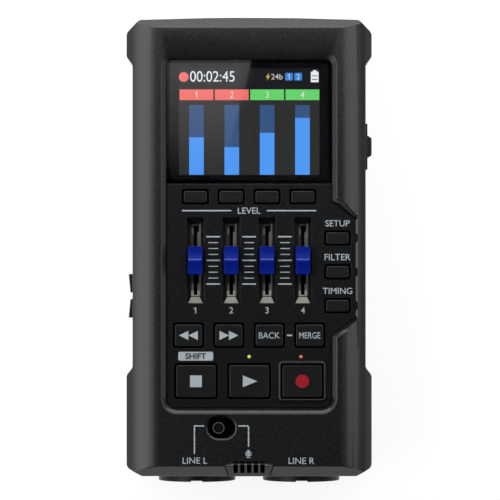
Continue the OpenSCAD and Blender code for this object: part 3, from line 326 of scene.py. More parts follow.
def disc(bm, centre, radius, low, high, segments=48, turn=0.0):
    """An upright disc, or a prism with few segments."""
    place = Matrix.Translation((centre[0], centre[1], (low + high) / 2)) @ Matrix.Rotation(turn, 4, "Z")
    bmesh.ops.create_cone(
        bm, cap_ends=True, segments=segments, radius1=radius, radius2=radius, depth=high - low, matrix=place
    )


def bar(bm, centre, size, low, high):
    """A flat bar about a middle, such as a printed line."""
    x, y, half, other = centre[0], centre[1], size[0] / 2, size[1] / 2
    return block(bm, (x - half, y - other, low), (x + half, y + other, high))


def round_bar(bm, centre, size, radius, low, high):
    """A flat bar with rounded corners."""
    verts = bar(bm, centre, size, low, high)
    upright = {e for v in verts for e in v.link_edges if abs(e.verts[0].co.z - e.verts[1].co.z) > 1e-9}
    bmesh.ops.bevel(
        bm, geom=list(upright), offset=radius, segments=6, profile=0.5, affect="EDGES", material=-1
    )


def thicken(bm, faces, rise):
    """Gives flat faces a thickness, up or down."""
    made = bmesh.ops.extrude_face_region(bm, geom=faces)["geom"]
    verts = [item for item in made if isinstance(item, bmesh.types.BMVert)]
    bmesh.ops.translate(bm, verts=verts, vec=(0, 0, rise))
    bmesh.ops.recalc_face_normals(bm, faces=bm.faces[:])


def plate(bm, corners, rise):
    """A thin plate through a few corners, up or down from them."""
    thicken(bm, [bm.faces.new([bm.verts.new(corner) for corner in corners])], rise)


def wedge(bm, points, low, high):
    """A level plate with straight edges through a few points."""
    plate(bm, [(x, y, low) for x, y in points], high - low)


def numeral(bm, number, centre, height, low, high, weight=0.004):
    """A digit; one gets a flag, which the built-in letters leave out."""
    if number != 1:
        return lettering(bm, str(number), centre, height, low, high, weight)
    stroke, flag = (0.15 + 2 * weight) * height, 0.24 * height
    x, top = centre[0] + 0.06 * height, centre[1] + height / 2
    bar(bm, (x, centre[1]), (stroke, height), low, high)
    left = x - stroke / 2
    tip, dip = left - flag, top - flag
    wedge(bm, [(left, top), (tip, dip), (tip, dip - stroke), (left, top - stroke)], low, high)


def lettering(bm, words, centre, height, low, high, weight=0.004, widest=None):
    """Plain capitals or digits, flat on a face, with their middle at the centre."""
    curve = bpy.data.curves.new("lettering", "FONT")
    curve.body = words
    curve.offset = weight
    curve.extrude = 0.5
    carrier = bpy.data.objects.new("lettering", curve)
    bpy.context.scene.collection.objects.link(carrier)
    bpy.context.view_layer.update()
    mesh = bpy.data.meshes.new_from_object(carrier.evaluated_get(bpy.context.evaluated_depsgraph_get()))
    bpy.data.objects.remove(carrier)
    bpy.data.curves.remove(curve)
    spots = [v.co for v in mesh.vertices]
    x0, x1 = min(p.x for p in spots), max(p.x for p in spots)
    y0, y1 = min(p.y for p in spots), max(p.y for p in spots)
    scale = height / (y1 - y0)
    wide = scale if widest is None else min(scale, widest / (x1 - x0))
    place = (
        Matrix.Translation((centre[0], centre[1], (low + high) / 2))
        @ Matrix.Diagonal((wide, scale, high - low, 1.0))
        @ Matrix.Translation((-(x0 + x1) / 2, -(y0 + y1) / 2, 0))
    )
    mesh.transform(place)
    bm.from_mesh(mesh)
    bpy.data.meshes.remove(mesh)


def placed(bm, name, material):
    """Makes an object of a bmesh and puts it in the scene."""
    mesh = bpy.data.meshes.new(name)
    bm.to_mesh(mesh)
    bm.free()
    mesh.materials.append(material)
    made = bpy.data.objects.new(name, mesh)
    bpy.context.scene.collection.objects.link(made)
    return made


def piece(bm, name, body, material, smooth=None):
    """Makes a finished object of a bmesh, riding on a body."""
    if not bm.faces:
        raise RuntimeError(f"{name} came out without faces")
    normals = even_normals(bm, math.radians(smooth)) if smooth is not None else None
    made = placed(bm, name, material)
    if normals:
        made.data.normals_split_custom_set(normals)
    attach(made, body)
    return made


def even_normals(bm, limit):
    """Corner normals that leave flat faces flat and turn only across the rounded edges."""
    fresh = bm.faces.layers.int.get("fresh")
    bm.normal_update()
    near = math.cos(limit)
    normals = []
    for edge in bm.edges:
        edge.smooth = edge.is_manifold and edge.calc_face_angle(0.0) < limit
    for face in bm.faces:
        face.smooth = True
        for loop in face.loops:
            around = [f for f in loop.vert.link_faces if f.normal.dot(face.normal) > near]
            kept = [f for f in around if not (fresh and f[fresh])] or around
            total = sum((f.normal * f.calc_area() for f in kept), Vector())
            normals.append(total.normalized() if total.length > 0 else face.normal)
    return normals


def body_of(node):
    return next(b for b, members in frame["record"]["behaviour"]["bodies"].items() if node in members)


def softened(node, name, edge, material, segments=2, seen=None, inset=0.0, shape=None, more=()):
    """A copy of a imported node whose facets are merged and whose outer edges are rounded.

    Only edges that are seen are rounded, after those that more gives a radius of their own. The copy may be
    inset in x and y, and shaped, before that.
    """
    bm = bmesh.new()
    bm.from_mesh(NODES[node].data)
    bmesh.ops.remove_doubles(bm, verts=bm.verts[:], dist=WELD)
    bmesh.ops.dissolve_limit(bm, angle_limit=math.radians(FLAT_ANGLE), verts=bm.verts[:], edges=bm.edges[:])
    if inset:
        middle = middle_of(node)
        for vert in bm.verts:
            for axis in (0, 1):
                vert.co[axis] -= math.copysign(inset, vert.co[axis] - middle[axis])
    if shape:
        shape(bm)
    fresh = bm.faces.layers.int.new("fresh")
    for where, width in (*more, (seen, edge)):
        for face in round_off(bm, width, segments, where):
            face[fresh] = 1
    bmesh.ops.triangulate(bm, faces=[f for f in bm.faces if len(f.verts) > 4], ngon_method="EAR_CLIP")
    made = piece(bm, name, body_of(node), material, smooth=SMOOTH_ANGLE)
    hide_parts(node)


def round_off(bm, width, segments, where):
    """Rounds the outward edges of a region, and returns the new faces."""
    sharp = math.radians(SHARP_ANGLE)
    edges = [
        e
        for e in bm.edges
        if e.is_manifold
        and e.calc_face_angle_signed(0.0) > sharp
        and (where is None or where((e.verts[0].co + e.verts[1].co) / 2))
    ]
    made = bmesh.ops.bevel(
        bm,
        geom=edges,
        offset=width,
        offset_type="OFFSET",
        segments=segments,
        profile=0.5,
        affect="EDGES",
        material=-1,
        clamp_overlap=False,
        loop_slide=False,
    )
    return made["faces"]


def dress(material, *nodes):
    """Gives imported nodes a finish."""
    for node in nodes:
        NODES[node].data.materials.clear()
        NODES[node].data.materials.append(material)


class RecorderOperator:
    """What the operators share: their options and the settings they take."""

    bl_options = {"REGISTER", "UNDO"}

    def take(self, context):
        self.sizes = context.scene.recorder_sizes
        self.colours = context.scene.recorder_colours
        self.stage = context.scene.recorder_stage


class RECORDER_OT_stage(RecorderOperator, bpy.types.Operator):
    """Camera, lamps, floor and surroundings"""

    bl_idname = "recorder.stage"
    bl_label = "Stage"

    CAMERA_PLACE = (0.31 * MM, 0.1 * MM, 1.28)
    CAMERA_LENS, CAMERA_SENSOR = 254.3, 36.0
    SIGHT = 20.0
    # Place of each lamp, then its width and length
    LAMPS = {
        "left": ((-0.6, 0.0, 0.7), (0.66, 1.0)),
        "right": ((0.45, 0.12, 0.67), (0.44, 0.6)),
        "end": ((0.0, 0.32, 0.075), (0.13, 0.7)),
        "head": ((0.0, 0.2, 0.32), (0.14, 0.5)),
    }
    LAMPS_AIM = (0.0, 0.0, 0.05)
    FLOOR_REACH, FLOOR_SHADE, FLOOR_GLOW = 12.0, 0.2, 0.86
    OVERHEAD_REACH, OVERHEAD_LEVEL, OVERHEAD_GLOW = 3.0, 1.5, 0.025
    WINDOW_LEVEL = 1.35
    WINDOW_CORNERS = ((-0.14, 0.043), (-0.0225, 0.043), (0.0052, 0.152), (-0.14, 0.152))
    WINDOW_FADE = (0.052, 0.143)

    def execute(self, context):
        self.take(context)
        self.camera()
        self.floor()
        self.surroundings()
        for name, (place, size) in self.LAMPS.items():
            self.lamp(name + "_lamp", Vector(place), size, getattr(self.stage, name + "_glow"))
        self.cards()
        return {"FINISHED"}

    def camera(self):
        data = bpy.data.cameras.new("camera")
        data.sensor_width = self.CAMERA_SENSOR
        data.lens = self.CAMERA_LENS
        data.clip_end = self.SIGHT
        camera = bpy.data.objects.new("camera", data)
        camera.location = self.CAMERA_PLACE
        bpy.context.scene.collection.objects.link(camera)
        bpy.context.scene.camera = camera
        bpy.context.scene.view_settings.view_transform = "Standard"

    def lamp(self, name, place, size, glow):
        data = bpy.data.lights.new(name, "AREA")
        data.shape = "RECTANGLE"
        data.size, data.size_y = size[1], size[0]
        data.energy = glow * math.pi * size[0] * size[1]
        lamp = bpy.data.objects.new(name, data)
        lamp.location = place
        lamp.rotation_mode = "QUATERNION"
        lamp.rotation_quaternion = (place - Vector(self.LAMPS_AIM)).to_track_quat("Z", "Y")
        bpy.context.scene.collection.objects.link(lamp)

    def floor(self):
        bm = bmesh.new()
        bmesh.ops.create_grid(bm, x_segments=1, y_segments=1, size=self.FLOOR_REACH)
        paper = matt("floor_paper", self.FLOOR_SHADE, WHITE)
        seen = self.seen_rays(paper.tree)
        paper.feed("Emission Strength", paper.spread(seen, 0.0, self.FLOOR_GLOW, 0.0, 1.0))
        self.sheet(bm, "floor", paper.material)

    def seen_rays(self, tree):
        """1 for rays that the camera sees straight, mirrored or through glass."""
        path = tree.nodes.new("ShaderNodeLightPath")
        total = path.outputs["Is Camera Ray"]
        for ray in ("Is Glossy Ray", "Is Transmission Ray"):
            add = tree.nodes.new("ShaderNodeMath")
            add.operation = "MAXIMUM"
            tree.links.new(total, add.inputs[0])
            tree.links.new(path.outputs[ray], add.inputs[1])
            total = add.outputs[0]
        return total

    def surroundings(self):
        world = bpy.data.worlds.new("surroundings")
        bpy.context.scene.world = world
        world.use_nodes = True
        tree = world.node_tree
        sky = tree.nodes["Background"]
        sky.inputs["Color"].default_value = (1, 1, 1, 1)
        level = tree.nodes.new("ShaderNodeMapRange")
        tree.links.new(self.seen_rays(tree), level.inputs["Value"])
        level.inputs["To Min"].default_value = self.stage.sky_glow
        level.inputs["To Max"].default_value = 1.0
        tree.links.new(level.outputs["Result"], sky.inputs["Strength"])

    def cards(self):
        """A dark card overhead, and under it a pale one that the display window mirrors in part."""
        dark = matt("dark_card", 0.04, (0.8, 0.88, 1.0)).fix(Emission_Strength=self.OVERHEAD_GLOW)
        pale = matt("pale_card", 0.0, WHITE)
        along = pale.node("ShaderNodeSeparateXYZ", Vector=pale.place).outputs["Y"]
        pale.feed("Emission Strength", pale.spread(along, 0.0, self.stage.window_glow, *self.WINDOW_FADE))
        bm = bmesh.new()
        place = Matrix.Translation((0, 0, self.OVERHEAD_LEVEL))
        bmesh.ops.create_grid(bm, x_segments=1, y_segments=1, size=self.OVERHEAD_REACH, matrix=place)
        self.sheet(bm, "overhead_card", dark.material, shown=False)
        bm = bmesh.new()
        bm.faces.new([bm.verts.new((x, y, self.WINDOW_LEVEL)) for x, y in self.WINDOW_CORNERS])
        self.sheet(bm, "window_card", pale.material, shown=False)

    def sheet(self, bm, name, material, shown=True):
        """Puts a flat sheet on the stage, in the camera's sight or kept out of it."""
        made = placed(bm, name, material)
        made.visible_camera = shown


class RECORDER_OT_case(RecorderOperator, bpy.types.Operator):
    """Both case halves, the battery door, and painted shade beside the grille and at the ends of its slots"""

    bl_idname = "recorder.case"
    bl_label = "Case"

    # The well of painted shade in the bowl round the selector: its shift from the bowl's middle, and its
    # measures
    WELL_SHIFT = (-0.5 * MM, 0.75 * MM, 0.0)
    WELL_RADIUS, WELL_CHANGE = mm(5.7, 0.8)
    WELL_SQUEEZE = (0.82, 1.0, 1.0)
    BOWL_REACH = 7.0 * MM
    # How far past the panel and the window the walls of the recess reach, and its rim at the foot
    RECESS_REACH, FOOT_REACH = mm(2.4, 2.2)
    # Length along y in which the shift of the rim grows to its full size
    RIM_SPAN = 4.0 * MM
    # The slope beside the side keys: its level above the window, and the length in which it runs out
    SLOPE_RISE, SLOPE_RUN = mm(0.84, 0.9)
    # A finger hollow's half width, and the cuts either side of its middle and in from the wall's ends
    HOLLOW_HALF = 1.0 * MM
    HOLLOW_CUTS = mm(1.05, 1.3, 1.6, 1.9)
    END_CUTS = mm(0.5, 1.0)

    def execute(self, context):
        self.take(context)
        knob = middle_of("selector_knob")
        middle = Vector((knob.x + MM, knob.y, knob.z - MM))
        # The case is darkened by painted shade, and its gloss dimmed, in a well round the selector knob
        well = (middle + Vector(self.WELL_SHIFT), self.WELL_RADIUS, self.WELL_CHANGE, self.WELL_SQUEEZE)
        plastic = moulded("case_plastic", self.colours.case, 0.29, 0.3, 0.004, gloss=0.46, well=well)
        edge = self.sizes.shell_edge
        low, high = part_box("front_case")
        side, shoulder, rim = high.x - 2.5 * MM, high.z - 5.5 * MM, high.z - 1.0 * MM
        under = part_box("rear_case")[0].z + 0.1 * MM

        def bowl(p):
            return p.z > rim and (p.xy - middle.xy).length < self.BOWL_REACH

        def front(p):
            end = p.y < low.y + MM or p.y > high.y - MM
            return (end or p.z > rim or (abs(p.x) > side and p.z > shoulder)) and not bowl(p)

        more = ((bowl, self.sizes.bowl_edge),)
        softened("front_case", "upper_shell", edge, plastic, seen=front, shape=self.eased, more=more)
        self.grooves(low.y, face_level())
        softened("rear_case", "lower_shell", edge / 2, plastic, seen=lambda p: p.z < under)
        softened("battery_door", "door_leaf", edge * 0.6, plastic)
        return {"FINISHED"}

    def eased(self, bm):
        """Folds the walls of the panel recess, steeper below and easing out towards the rim."""
        fold = face_level() - self.sizes.rim_drop
        low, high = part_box("control_panel")
        end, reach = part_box("display_window")[1].y, self.RECESS_REACH
        geom = [*bm.verts, *bm.edges, *bm.faces]
        bmesh.ops.bisect_plane(bm, geom=geom, dist=1e-7, plane_co=(0, 0, fold), plane_no=(0, 0, 1))
        self.notched(bm, high.x)
        head, foot = end - reach, low.y + reach
        for vert in bm.verts:
            spot = vert.co
            if not (low.y - reach < spot.y < end + reach and low.x - reach < spot.x < high.x + reach):
                continue
            if abs(spot.z - fold) < SAME:
                walls = [f for f in vert.link_faces if f.normal.z > 0.3]
                inward = sum((f.normal * f.calc_area() for f in walls), Vector())
                inward.z = 0.0
                inward.normalize()
                low_wall = max(0.0, inward.y)
                spot += inward * self.sizes.rim_ease * (1 - low_wall)
                spot.z += self.sizes.rim_foot * low_wall
            elif spot.z > fold and spot.y > head:
                spot.y += self.sizes.rim_head * (spot.y - head) / self.RIM_SPAN
            elif spot.z > fold and low.y - self.FOOT_REACH < spot.y < foot:
                spot.y -= self.sizes.rim_foot * (foot - spot.y) / self.RIM_SPAN

    def notched(self, bm, wall):
        """Eases the low wall beside the side keys into a narrow slope, cut through at each finger hollow."""
        level = top_of("display_window") + self.SLOPE_RISE
        keys = [middle_of(node).y for node in SIDE_KEYS]

        def low_wall():
            bm.normal_update()
            faces = [f for f in bm.faces if f.normal.x < -0.8 and f.normal.z > 0.2]
            return [f for f in faces if f.calc_center_median().x > wall - MM]

        ends = [v.co.y for f in low_wall() for v in f.verts]
        low, high = min(ends), max(ends)
        steps = [key + side * cut for key in keys for side in SIDES for cut in self.HOLLOW_CUTS]
        steps += [low + cut for cut in self.END_CUTS] + [high - cut for cut in reversed(self.END_CUTS)]
        cuts = [((0, 0, level), (0, 0, 1))] + [((0, y, 0), (0, 1, 0)) for y in steps]
        for place, way in cuts:
            geom = {item for f in low_wall() for item in (f, *f.edges, *f.verts)}
            bmesh.ops.bisect_plane(bm, geom=list(geom), dist=1e-7, plane_co=place, plane_no=way)
        for vert in {v for f in low_wall() for v in f.verts}:
            if abs(vert.co.z - level) < SAME:
                beside = min(abs(vert.co.y - key) for key in keys) - self.HOLLOW_HALF
                clear = min(beside, vert.co.y - low, high - vert.co.y)
                vert.co.x -= self.sizes.rim_side * max(0.0, min(1.0, clear / self.SLOPE_RUN))

    def grooves(self, end, top):
        """Dark strips on the bevel either side of the microphone grille, painted shade of its raised sides,
        and dark blocks at the ends of its slots, painted shade of the slot hollows.
        """
        drop, length = mm(4.5, 3.7)
        sink, lift = mm(0.1, 0.02)
        half_slot, slot_length, pitch, gap = mm(0.8, 1.2, 2.36, 0.6)
        bm = bmesh.new()
        for side in SIDES:
            corners = [(8.12, length), (8.52, length), (7.55, sink), (7.12, sink)]
            places = [(side * x * MM, end + y, top - drop * (1 - y / length) + lift) for x, y in corners]
            plate(bm, places, -sink)
        for slot in range(-2, 3):
            x, y = slot * pitch, end + length + gap
            high = top + self.sizes.print_height
            block(bm, (x - half_slot, y, top - ROOT), (x + half_slot, y + slot_length, high))
        # Near-black and without gloss: the painted shade at the grille
        plastic = moulded("grille_shade_plastic", shaded(self.colours.case, 0.3), 0.6, gloss=0.0)
        piece(bm, "grille_painted_shade", CASE, plastic)


class RECORDER_OT_panel(RecorderOperator, bpy.types.Operator):
    """Control panel"""

    bl_idname = "recorder.panel"
    bl_label = "Panel"

    # How far round a key its hole is looked for
    HOLE_REACH = 0.8 * MM
    GUARD_EDGE, CREST_DROP = mm(0.3, 0.15)

    def execute(self, context):
        self.take(context)
        top = self.top = top_of("display_window")
        # Painted shade darkens the panel, and dims its gloss, down the sides of its key holes
        gaps = (top - 0.3 * MM, top - 0.04 * MM)
        plastic = moulded("panel_plastic", self.colours.panel, 0.29, 0.22, 0.003, 0.08, gaps=gaps)
        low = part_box("control_panel")[0].z
        self.boxes = [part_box(node) for node in ALL_KEYS if node != "record_key"]
        more = ((lambda p: p.z > top + 0.5 * MM, self.GUARD_EDGE), (self.key_hole, self.sizes.hole_edge))
        form = {"seen": lambda p: low + 0.3 * MM < p.z < top + 0.2 * MM, "shape": self.crest, "more": more}
        softened("control_panel", "panel_insert", self.sizes.panel_edge, plastic, **form)
        return {"FINISHED"}

    def key_hole(self, p):
        """Whether a spot lies on the rim of a key's hole, other than the guarded one."""
        if abs(p.z - self.top) >= 0.05 * MM:
            return False
        reach = self.HOLE_REACH
        return any(
            low.x - reach < p.x < high.x + reach and low.y - reach < p.y < high.y + reach
            for low, high in self.boxes
        )

    def crest(self, bm):
        """Slopes the guard's top down towards its outer edge."""
        crown = top_of("control_panel") - 0.1 * MM
        low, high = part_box("record_key")
        middle, half = middle_of("record_key"), (high - low) / 2
        for vert in bm.verts:
            away = [abs(vert.co[i] - middle[i]) - half[i] for i in (0, 1)]
            if vert.co.z > crown and max(away) > 0.1 * MM:
                vert.co.z -= self.CREST_DROP


class RECORDER_OT_keys(RecorderOperator, bpy.types.Operator):
    """Keys and the marks on them"""

    bl_idname = "recorder.keys"
    bl_label = "Keys"

    # How much smaller than the node a key is all round, and how far its foot lies below the top
    INSET, FOOT_DROP = mm(0.13, 2.2)

    def execute(self, context):
        self.take(context)
        top = top_of("display_window")
        # Painted shade darkens the keys, and dims their gloss, down in the gaps round them
        gaps = (top - 0.5 * MM, top + 0.15 * MM)
        plastic = moulded("key_plastic", self.colours.key, 0.29, 0.2, 0.002, 0.06, gaps=gaps)
        self.print = ink("key_ink", self.colours.print)
        self.red = ink("record_ink", self.colours.record, 0.5, gloss=0.15)
        foot = top_of("stop_key") - self.FOOT_DROP
        form = {"segments": 3, "seen": lambda p: p.z > foot, "inset": self.INSET}
        for node in ALL_KEYS:
            softened(node, node.replace("_key", "_cap"), self.sizes.key_edge, plastic, **form)
        for node, way in (("rewind_key", -1), ("forward_key", 1)):
            self.mark(node, self.arrows, way)
        for node, words in (("undo_key", "BACK"), ("bounce_key", "MERGE")):
            self.mark(node, self.words, words)
        self.mark("stop_key", self.square)
        self.mark("play_key", self.triangle)
        self.mark("record_key", self.dot)
        return {"FINISHED"}

    def mark(self, node, draw, *about):
        bm = bmesh.new()
        centre = middle_of(node)
        top = top_of(node)
        draw(bm, centre, top - ROOT, top + self.sizes.print_height, *about)
        colour = self.red if node == "record_key" else self.print
        piece(bm, node.replace("_key", "_mark"), body_of(node), colour)

    def arrows(self, bm, centre, low, high, way):
        for step in SIDES:
            x = centre.x + step * 1.65 * MM
            tip, root = x + way * 1.65 * MM, x - way * 1.65 * MM
            wedge(bm, [(root, centre.y - 1.6 * MM), (tip, centre.y), (root, centre.y + 1.6 * MM)], low, high)

    def words(self, bm, centre, low, high, words):
        lettering(bm, words, centre, self.sizes.letter_height, low, high, widest=7.4 * MM)

    def square(self, bm, centre, low, high):
        bar(bm, centre, mm(4.1, 4.1), low, high)

    def triangle(self, bm, centre, low, high):
        x, y = centre.x - 2.2 * MM, centre.y
        wedge(bm, [(x, y - 2.05 * MM), (x + 5.1 * MM, y), (x, y + 2.05 * MM)], low, high)

    def dot(self, bm, centre, low, high):
        disc(bm, centre, 2.35 * MM, low, high)


class RECORDER_OT_faders(RecorderOperator, bpy.types.Operator):
    """Fader caps, levers, frames and what shows in their slots"""

    bl_idname = "recorder.faders"
    bl_label = "Faders"

    # Bars in a fader's slot, all clear of the lever: middle and size in x and y, then height
    BARS = {
        "guide": (mm(-1.25, 0.0, 1.2, 24.4, 0.3), mm(0.0, 12.45, 2.4, 0.5, 0.5)),
        "rail": (
            mm(1.6, 0.35, 0.5, 25.1, 0.3),
            mm(1.0, 6.0, 0.7, 8.0, 0.2),
            mm(-1.0, -9.4, 0.6, 2.4, 0.4),
            mm(1.0, -9.4, 0.6, 2.4, 0.4),
            mm(-1.0, 10.0, 0.6, 2.2, 0.4),
        ),
        "tab": (
            mm(0.0, -12.33, 3.0, 0.4, 0.6),
            mm(-1.08, -11.4, 0.84, 1.5, 0.55),
            mm(1.08, -11.4, 0.84, 1.5, 0.55),
        ),
    }
    # The sloping end of the tab: its corners from the fader's middle and from the slot's floor
    TAB = (mm(-1.5, -12.85, 0.42), mm(1.5, -12.85, 0.42), mm(2.6, -15.08, 1.82), mm(-2.6, -15.08, 1.82))
    TAB_SHEET = 0.1 * MM
    # Depth of the slot's floor below the middle of a cap
    FLOOR_DROP = 6.1 * MM
    LINE_WIDTH, LINE_SHIFT, LINE_ROOT = mm(0.34, 0.4, 0.1)
    # Share of the steel's colour that each metal keeps: lit and shaded copies of one steel, with painted
    # shade deep on the guide and frame in the slot, lighter on the rail, none on the tab
    METALS = {"guide": 0.06, "rail": 0.36, "tab": 1.0}

    def execute(self, context):
        self.take(context)
        plastic = moulded("cap_plastic", self.colours.cap, 0.34, 0.2, 0.002, 0.06, gloss=0.06)
        line = ink("cap_line_ink", self.colours.cap_line, 0.4)
        # A darker band across the middle of each cap, just under its line: painted shade below the cap's
        # ridge
        shade = ink("cap_painted_shade", shaded(self.colours.cap, 0.6), 0.4)
        steel = self.colours.steel
        metals = {
            name: sheet_metal(f"{name}_steel", shaded(steel, share), 0.45, metal=0.55)
            for name, share in self.METALS.items()
        }
        for i in TRACKS:
            cap = f"fader_cap_{i}"
            softened(cap, f"fader_top_{i}", self.sizes.cap_edge, plastic, segments=3)
            self.stripe(cap, f"fader_line_{i}", self.LINE_SHIFT, line)
            self.stripe(cap, f"fader_shade_{i}", 0.0, shade)
            for name, metal in metals.items():
                self.fitting(i, name, metal)
        # The frames take the guide's deep painted shade
        dress(sheet_metal("frame_steel", shaded(steel, self.METALS["guide"]), 0.5), "fader_frames")
        dress(metals["tab"], *[f"fader_lever_{i}" for i in TRACKS])
        return {"FINISHED"}

    def stripe(self, cap, name, shift, material):
        low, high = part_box(cap)
        centre = middle_of(cap)
        size = (high.x - low.x - 2 * self.sizes.cap_edge, self.LINE_WIDTH)
        bm = bmesh.new()
        top = high.z + self.sizes.print_height
        bar(bm, (centre.x, centre.y + shift), size, high.z - self.LINE_ROOT, top)
        piece(bm, name, body_of(cap), material)

    def fitting(self, i, name, material):
        """A guide in deep painted shade or a stepped rail in lighter painted shade beside the lever, or the
        tab at the slot's lower end.
        """
        x, y, z = middle_of(f"fader_cap_{i}")
        floor = z - self.FLOOR_DROP
        bm = bmesh.new()
        for dx, dy, width, length, height in self.BARS[name]:
            bar(bm, (x + dx, y + dy), (width, length), floor, floor + height)
        if name == "tab":
            plate(bm, [(x + dx, y + dy, floor + dz) for dx, dy, dz in self.TAB], -self.TAB_SHEET)
        piece(bm, f"fader_{name}_{i}", CASE, material)


class RECORDER_OT_display(RecorderOperator, bpy.types.Operator):
    """Display window and the page on the display"""

    bl_idname = "recorder.display"
    bl_label = "Display"

    # Measures of the page, in millimetres from its middle
    PAGE, LIT_HALF = (49.4, 37.5), (24.7, 18.75)
    PITCH, COLUMNS_SHIFT, COLUMNS_Y, COLUMN = 12.39, 0.12, -5.2, (11.95, 26.4)
    RULE_WIDTH, HEAD_Y, HEAD = 0.16, 9.56, (11.85, 3.72)
    BARS_FOOT, BAR_WIDTH, BAR_FULL = -18.48, 5.12, 24.46
    LEVELS = (13.13, 9.69, 14.67, 19.94)
    INPUTS = {1: (14.0, 15.9), 2: (17.2, 15.9)}
    BATTERY = ((23.0, 15.8, 2.7, 3.7), (23.0, 17.9, 1.2, 0.6))
    BATTERY_BARS = ((23.0, 14.95, 2.0, 0.3), (23.0, 16.2, 2.0, 0.3))
    # Thickness of a layer of the page, and its brightness
    LAYER, GLOW = 0.02 * MM, 1.06

    def execute(self, context):
        self.take(context)
        glass = Finish("window_glass").fix(Transmission_Weight=1.0, IOR=1.49)
        haze = glass.noise(9.0, 2.0)
        glass.feed("Roughness", glass.spread(haze, 0.0, 0.03))
        share = glass.spread(haze, 0, 1)
        glass.feed("Base Color", glass.between(share, (0.93, 0.94, 0.96), (0.96, 0.97, 0.98)))
        dress(glass.material, "display_window")
        self.middle = middle_of("lcd_module").y - 0.1 * MM
        self.surround()
        self.page()
        return {"FINISHED"}

    def surround(self):
        """Black print under the window round the lit area."""
        low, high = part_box("display_window")
        side = 0.3 * MM
        z0, z1 = low.z - 0.12 * MM, low.z - 0.04 * MM
        x, y = mm(*self.LIT_HALF)
        bm = bmesh.new()
        strips = (
            (low.x + side, low.y, -x, high.y),
            (x, low.y, high.x - side, high.y),
            (-x, low.y - 0.1 * MM, x, self.middle - y),
            (-x, self.middle + y, x, high.y),
        )
        for x0, y0, x1, y1 in strips:
            block(bm, (x0, y0, z0), (x1, y1, z1))
        piece(bm, "window_surround", CASE, ink("window_ink", tint("111215"), 0.6, gloss=0.0))

    def page(self):
        """Lays the page on the display in layers: each has bars and what else is drawn with them."""
        colours = self.colours
        columns = [(i - 1.5) * self.PITCH + self.COLUMNS_SHIFT for i in range(4)]
        grounds = [(x, self.COLUMNS_Y, *self.COLUMN) for x in columns]
        rules = [(x + self.PITCH / 2, self.COLUMNS_Y, self.RULE_WIDTH, self.COLUMN[1]) for x in columns[:3]]
        heads = [(x, self.HEAD_Y, *self.HEAD) for x in columns]
        full, filled = [
            [(x, self.BARS_FOOT + height / 2, self.BAR_WIDTH, height) for x, height in zip(columns, heights)]
            for heights in ([self.BAR_FULL] * 4, self.LEVELS)
        ]
        numbers = {i + 1: (x, self.HEAD_Y) for i, x in enumerate(columns)}
        layers = (
            ("ground", tint("1d1d20"), 0, [(0, 0, *self.PAGE)], None),
            ("columns", tint("303030"), 1, grounds, None),
            ("rules", tint("4a4a4d"), 1, rules, None),
            ("armed", colours.screen_red, 2, heads[:2], self.dot),
            ("playing", colours.screen_green, 2, heads[2:], None),
            ("empty", colours.screen_empty, 2, full, None),
            ("levels", colours.screen_level, 3, filled, None),
            ("numbers", tint("f6e6e2"), 3, [], lambda *at: self.numbers(*at, numbers, 2.2 * MM, -0.012)),
            ("clock", tint("eef2f4"), 2, self.BATTERY, self.clock),
            ("inputs", tint("3f86d8"), 2, [], self.inputs),
            ("input_numbers", tint("c8dcf2"), 3, [], lambda *at: self.numbers(*at, self.INPUTS, 1.8 * MM)),
            ("supply", tint("d8c24a"), 2, [], self.bolt),
            ("supply_word", tint("c9c9c4"), 2, [], self.supply_word),
            ("battery_bars", tint("5a5e60"), 3, self.BATTERY_BARS, None),
        )
        for name, colour, level, bars, draw in layers:
            bm = bmesh.new()
            low = top_of("lcd_module") + level * self.LAYER
            for x, y, *size in bars:
                bar(bm, self.spot(x, y), mm(*size), low, low + self.LAYER)
            if draw:
                draw(bm, low, low + self.LAYER)
            piece(bm, f"page_{name}", CASE, lit(f"page_{name}_glow", colour, self.GLOW))

    def spot(self, x, y):
        return (x * MM, self.middle + y * MM)

    def dot(self, bm, low, high):
        disc(bm, self.spot(-22.95, 15.8), 1.7 * MM, low, high)

    def numbers(self, bm, low, high, spots, height, weight=0.004):
        for number, spot in spots.items():
            numeral(bm, number, self.spot(*spot), height, low, high, weight)

    def clock(self, bm, low, high):
        lettering(bm, "00:02:45", self.spot(-12.9, 16.0), 3.75 * MM, low, high, weight=0.0, widest=15.6 * MM)

    def inputs(self, bm, low, high):
        for spot in self.INPUTS.values():
            round_bar(bm, self.spot(*spot), mm(2.7, 2.7), 0.4 * MM, low, high)

    def bolt(self, bm, low, high):
        half = [(0.45, 1.4), (-0.8, -0.2), (-0.05, -0.2)]
        points = half + [(-x, -y) for x, y in half]
        wedge(bm, [self.spot(6.6 + x, 15.9 + y) for x, y in points], low, high)

    def supply_word(self, bm, low, high):
        lettering(bm, "24b", self.spot(9.75, 15.9), 2.0 * MM, low, high, widest=4.0 * MM)


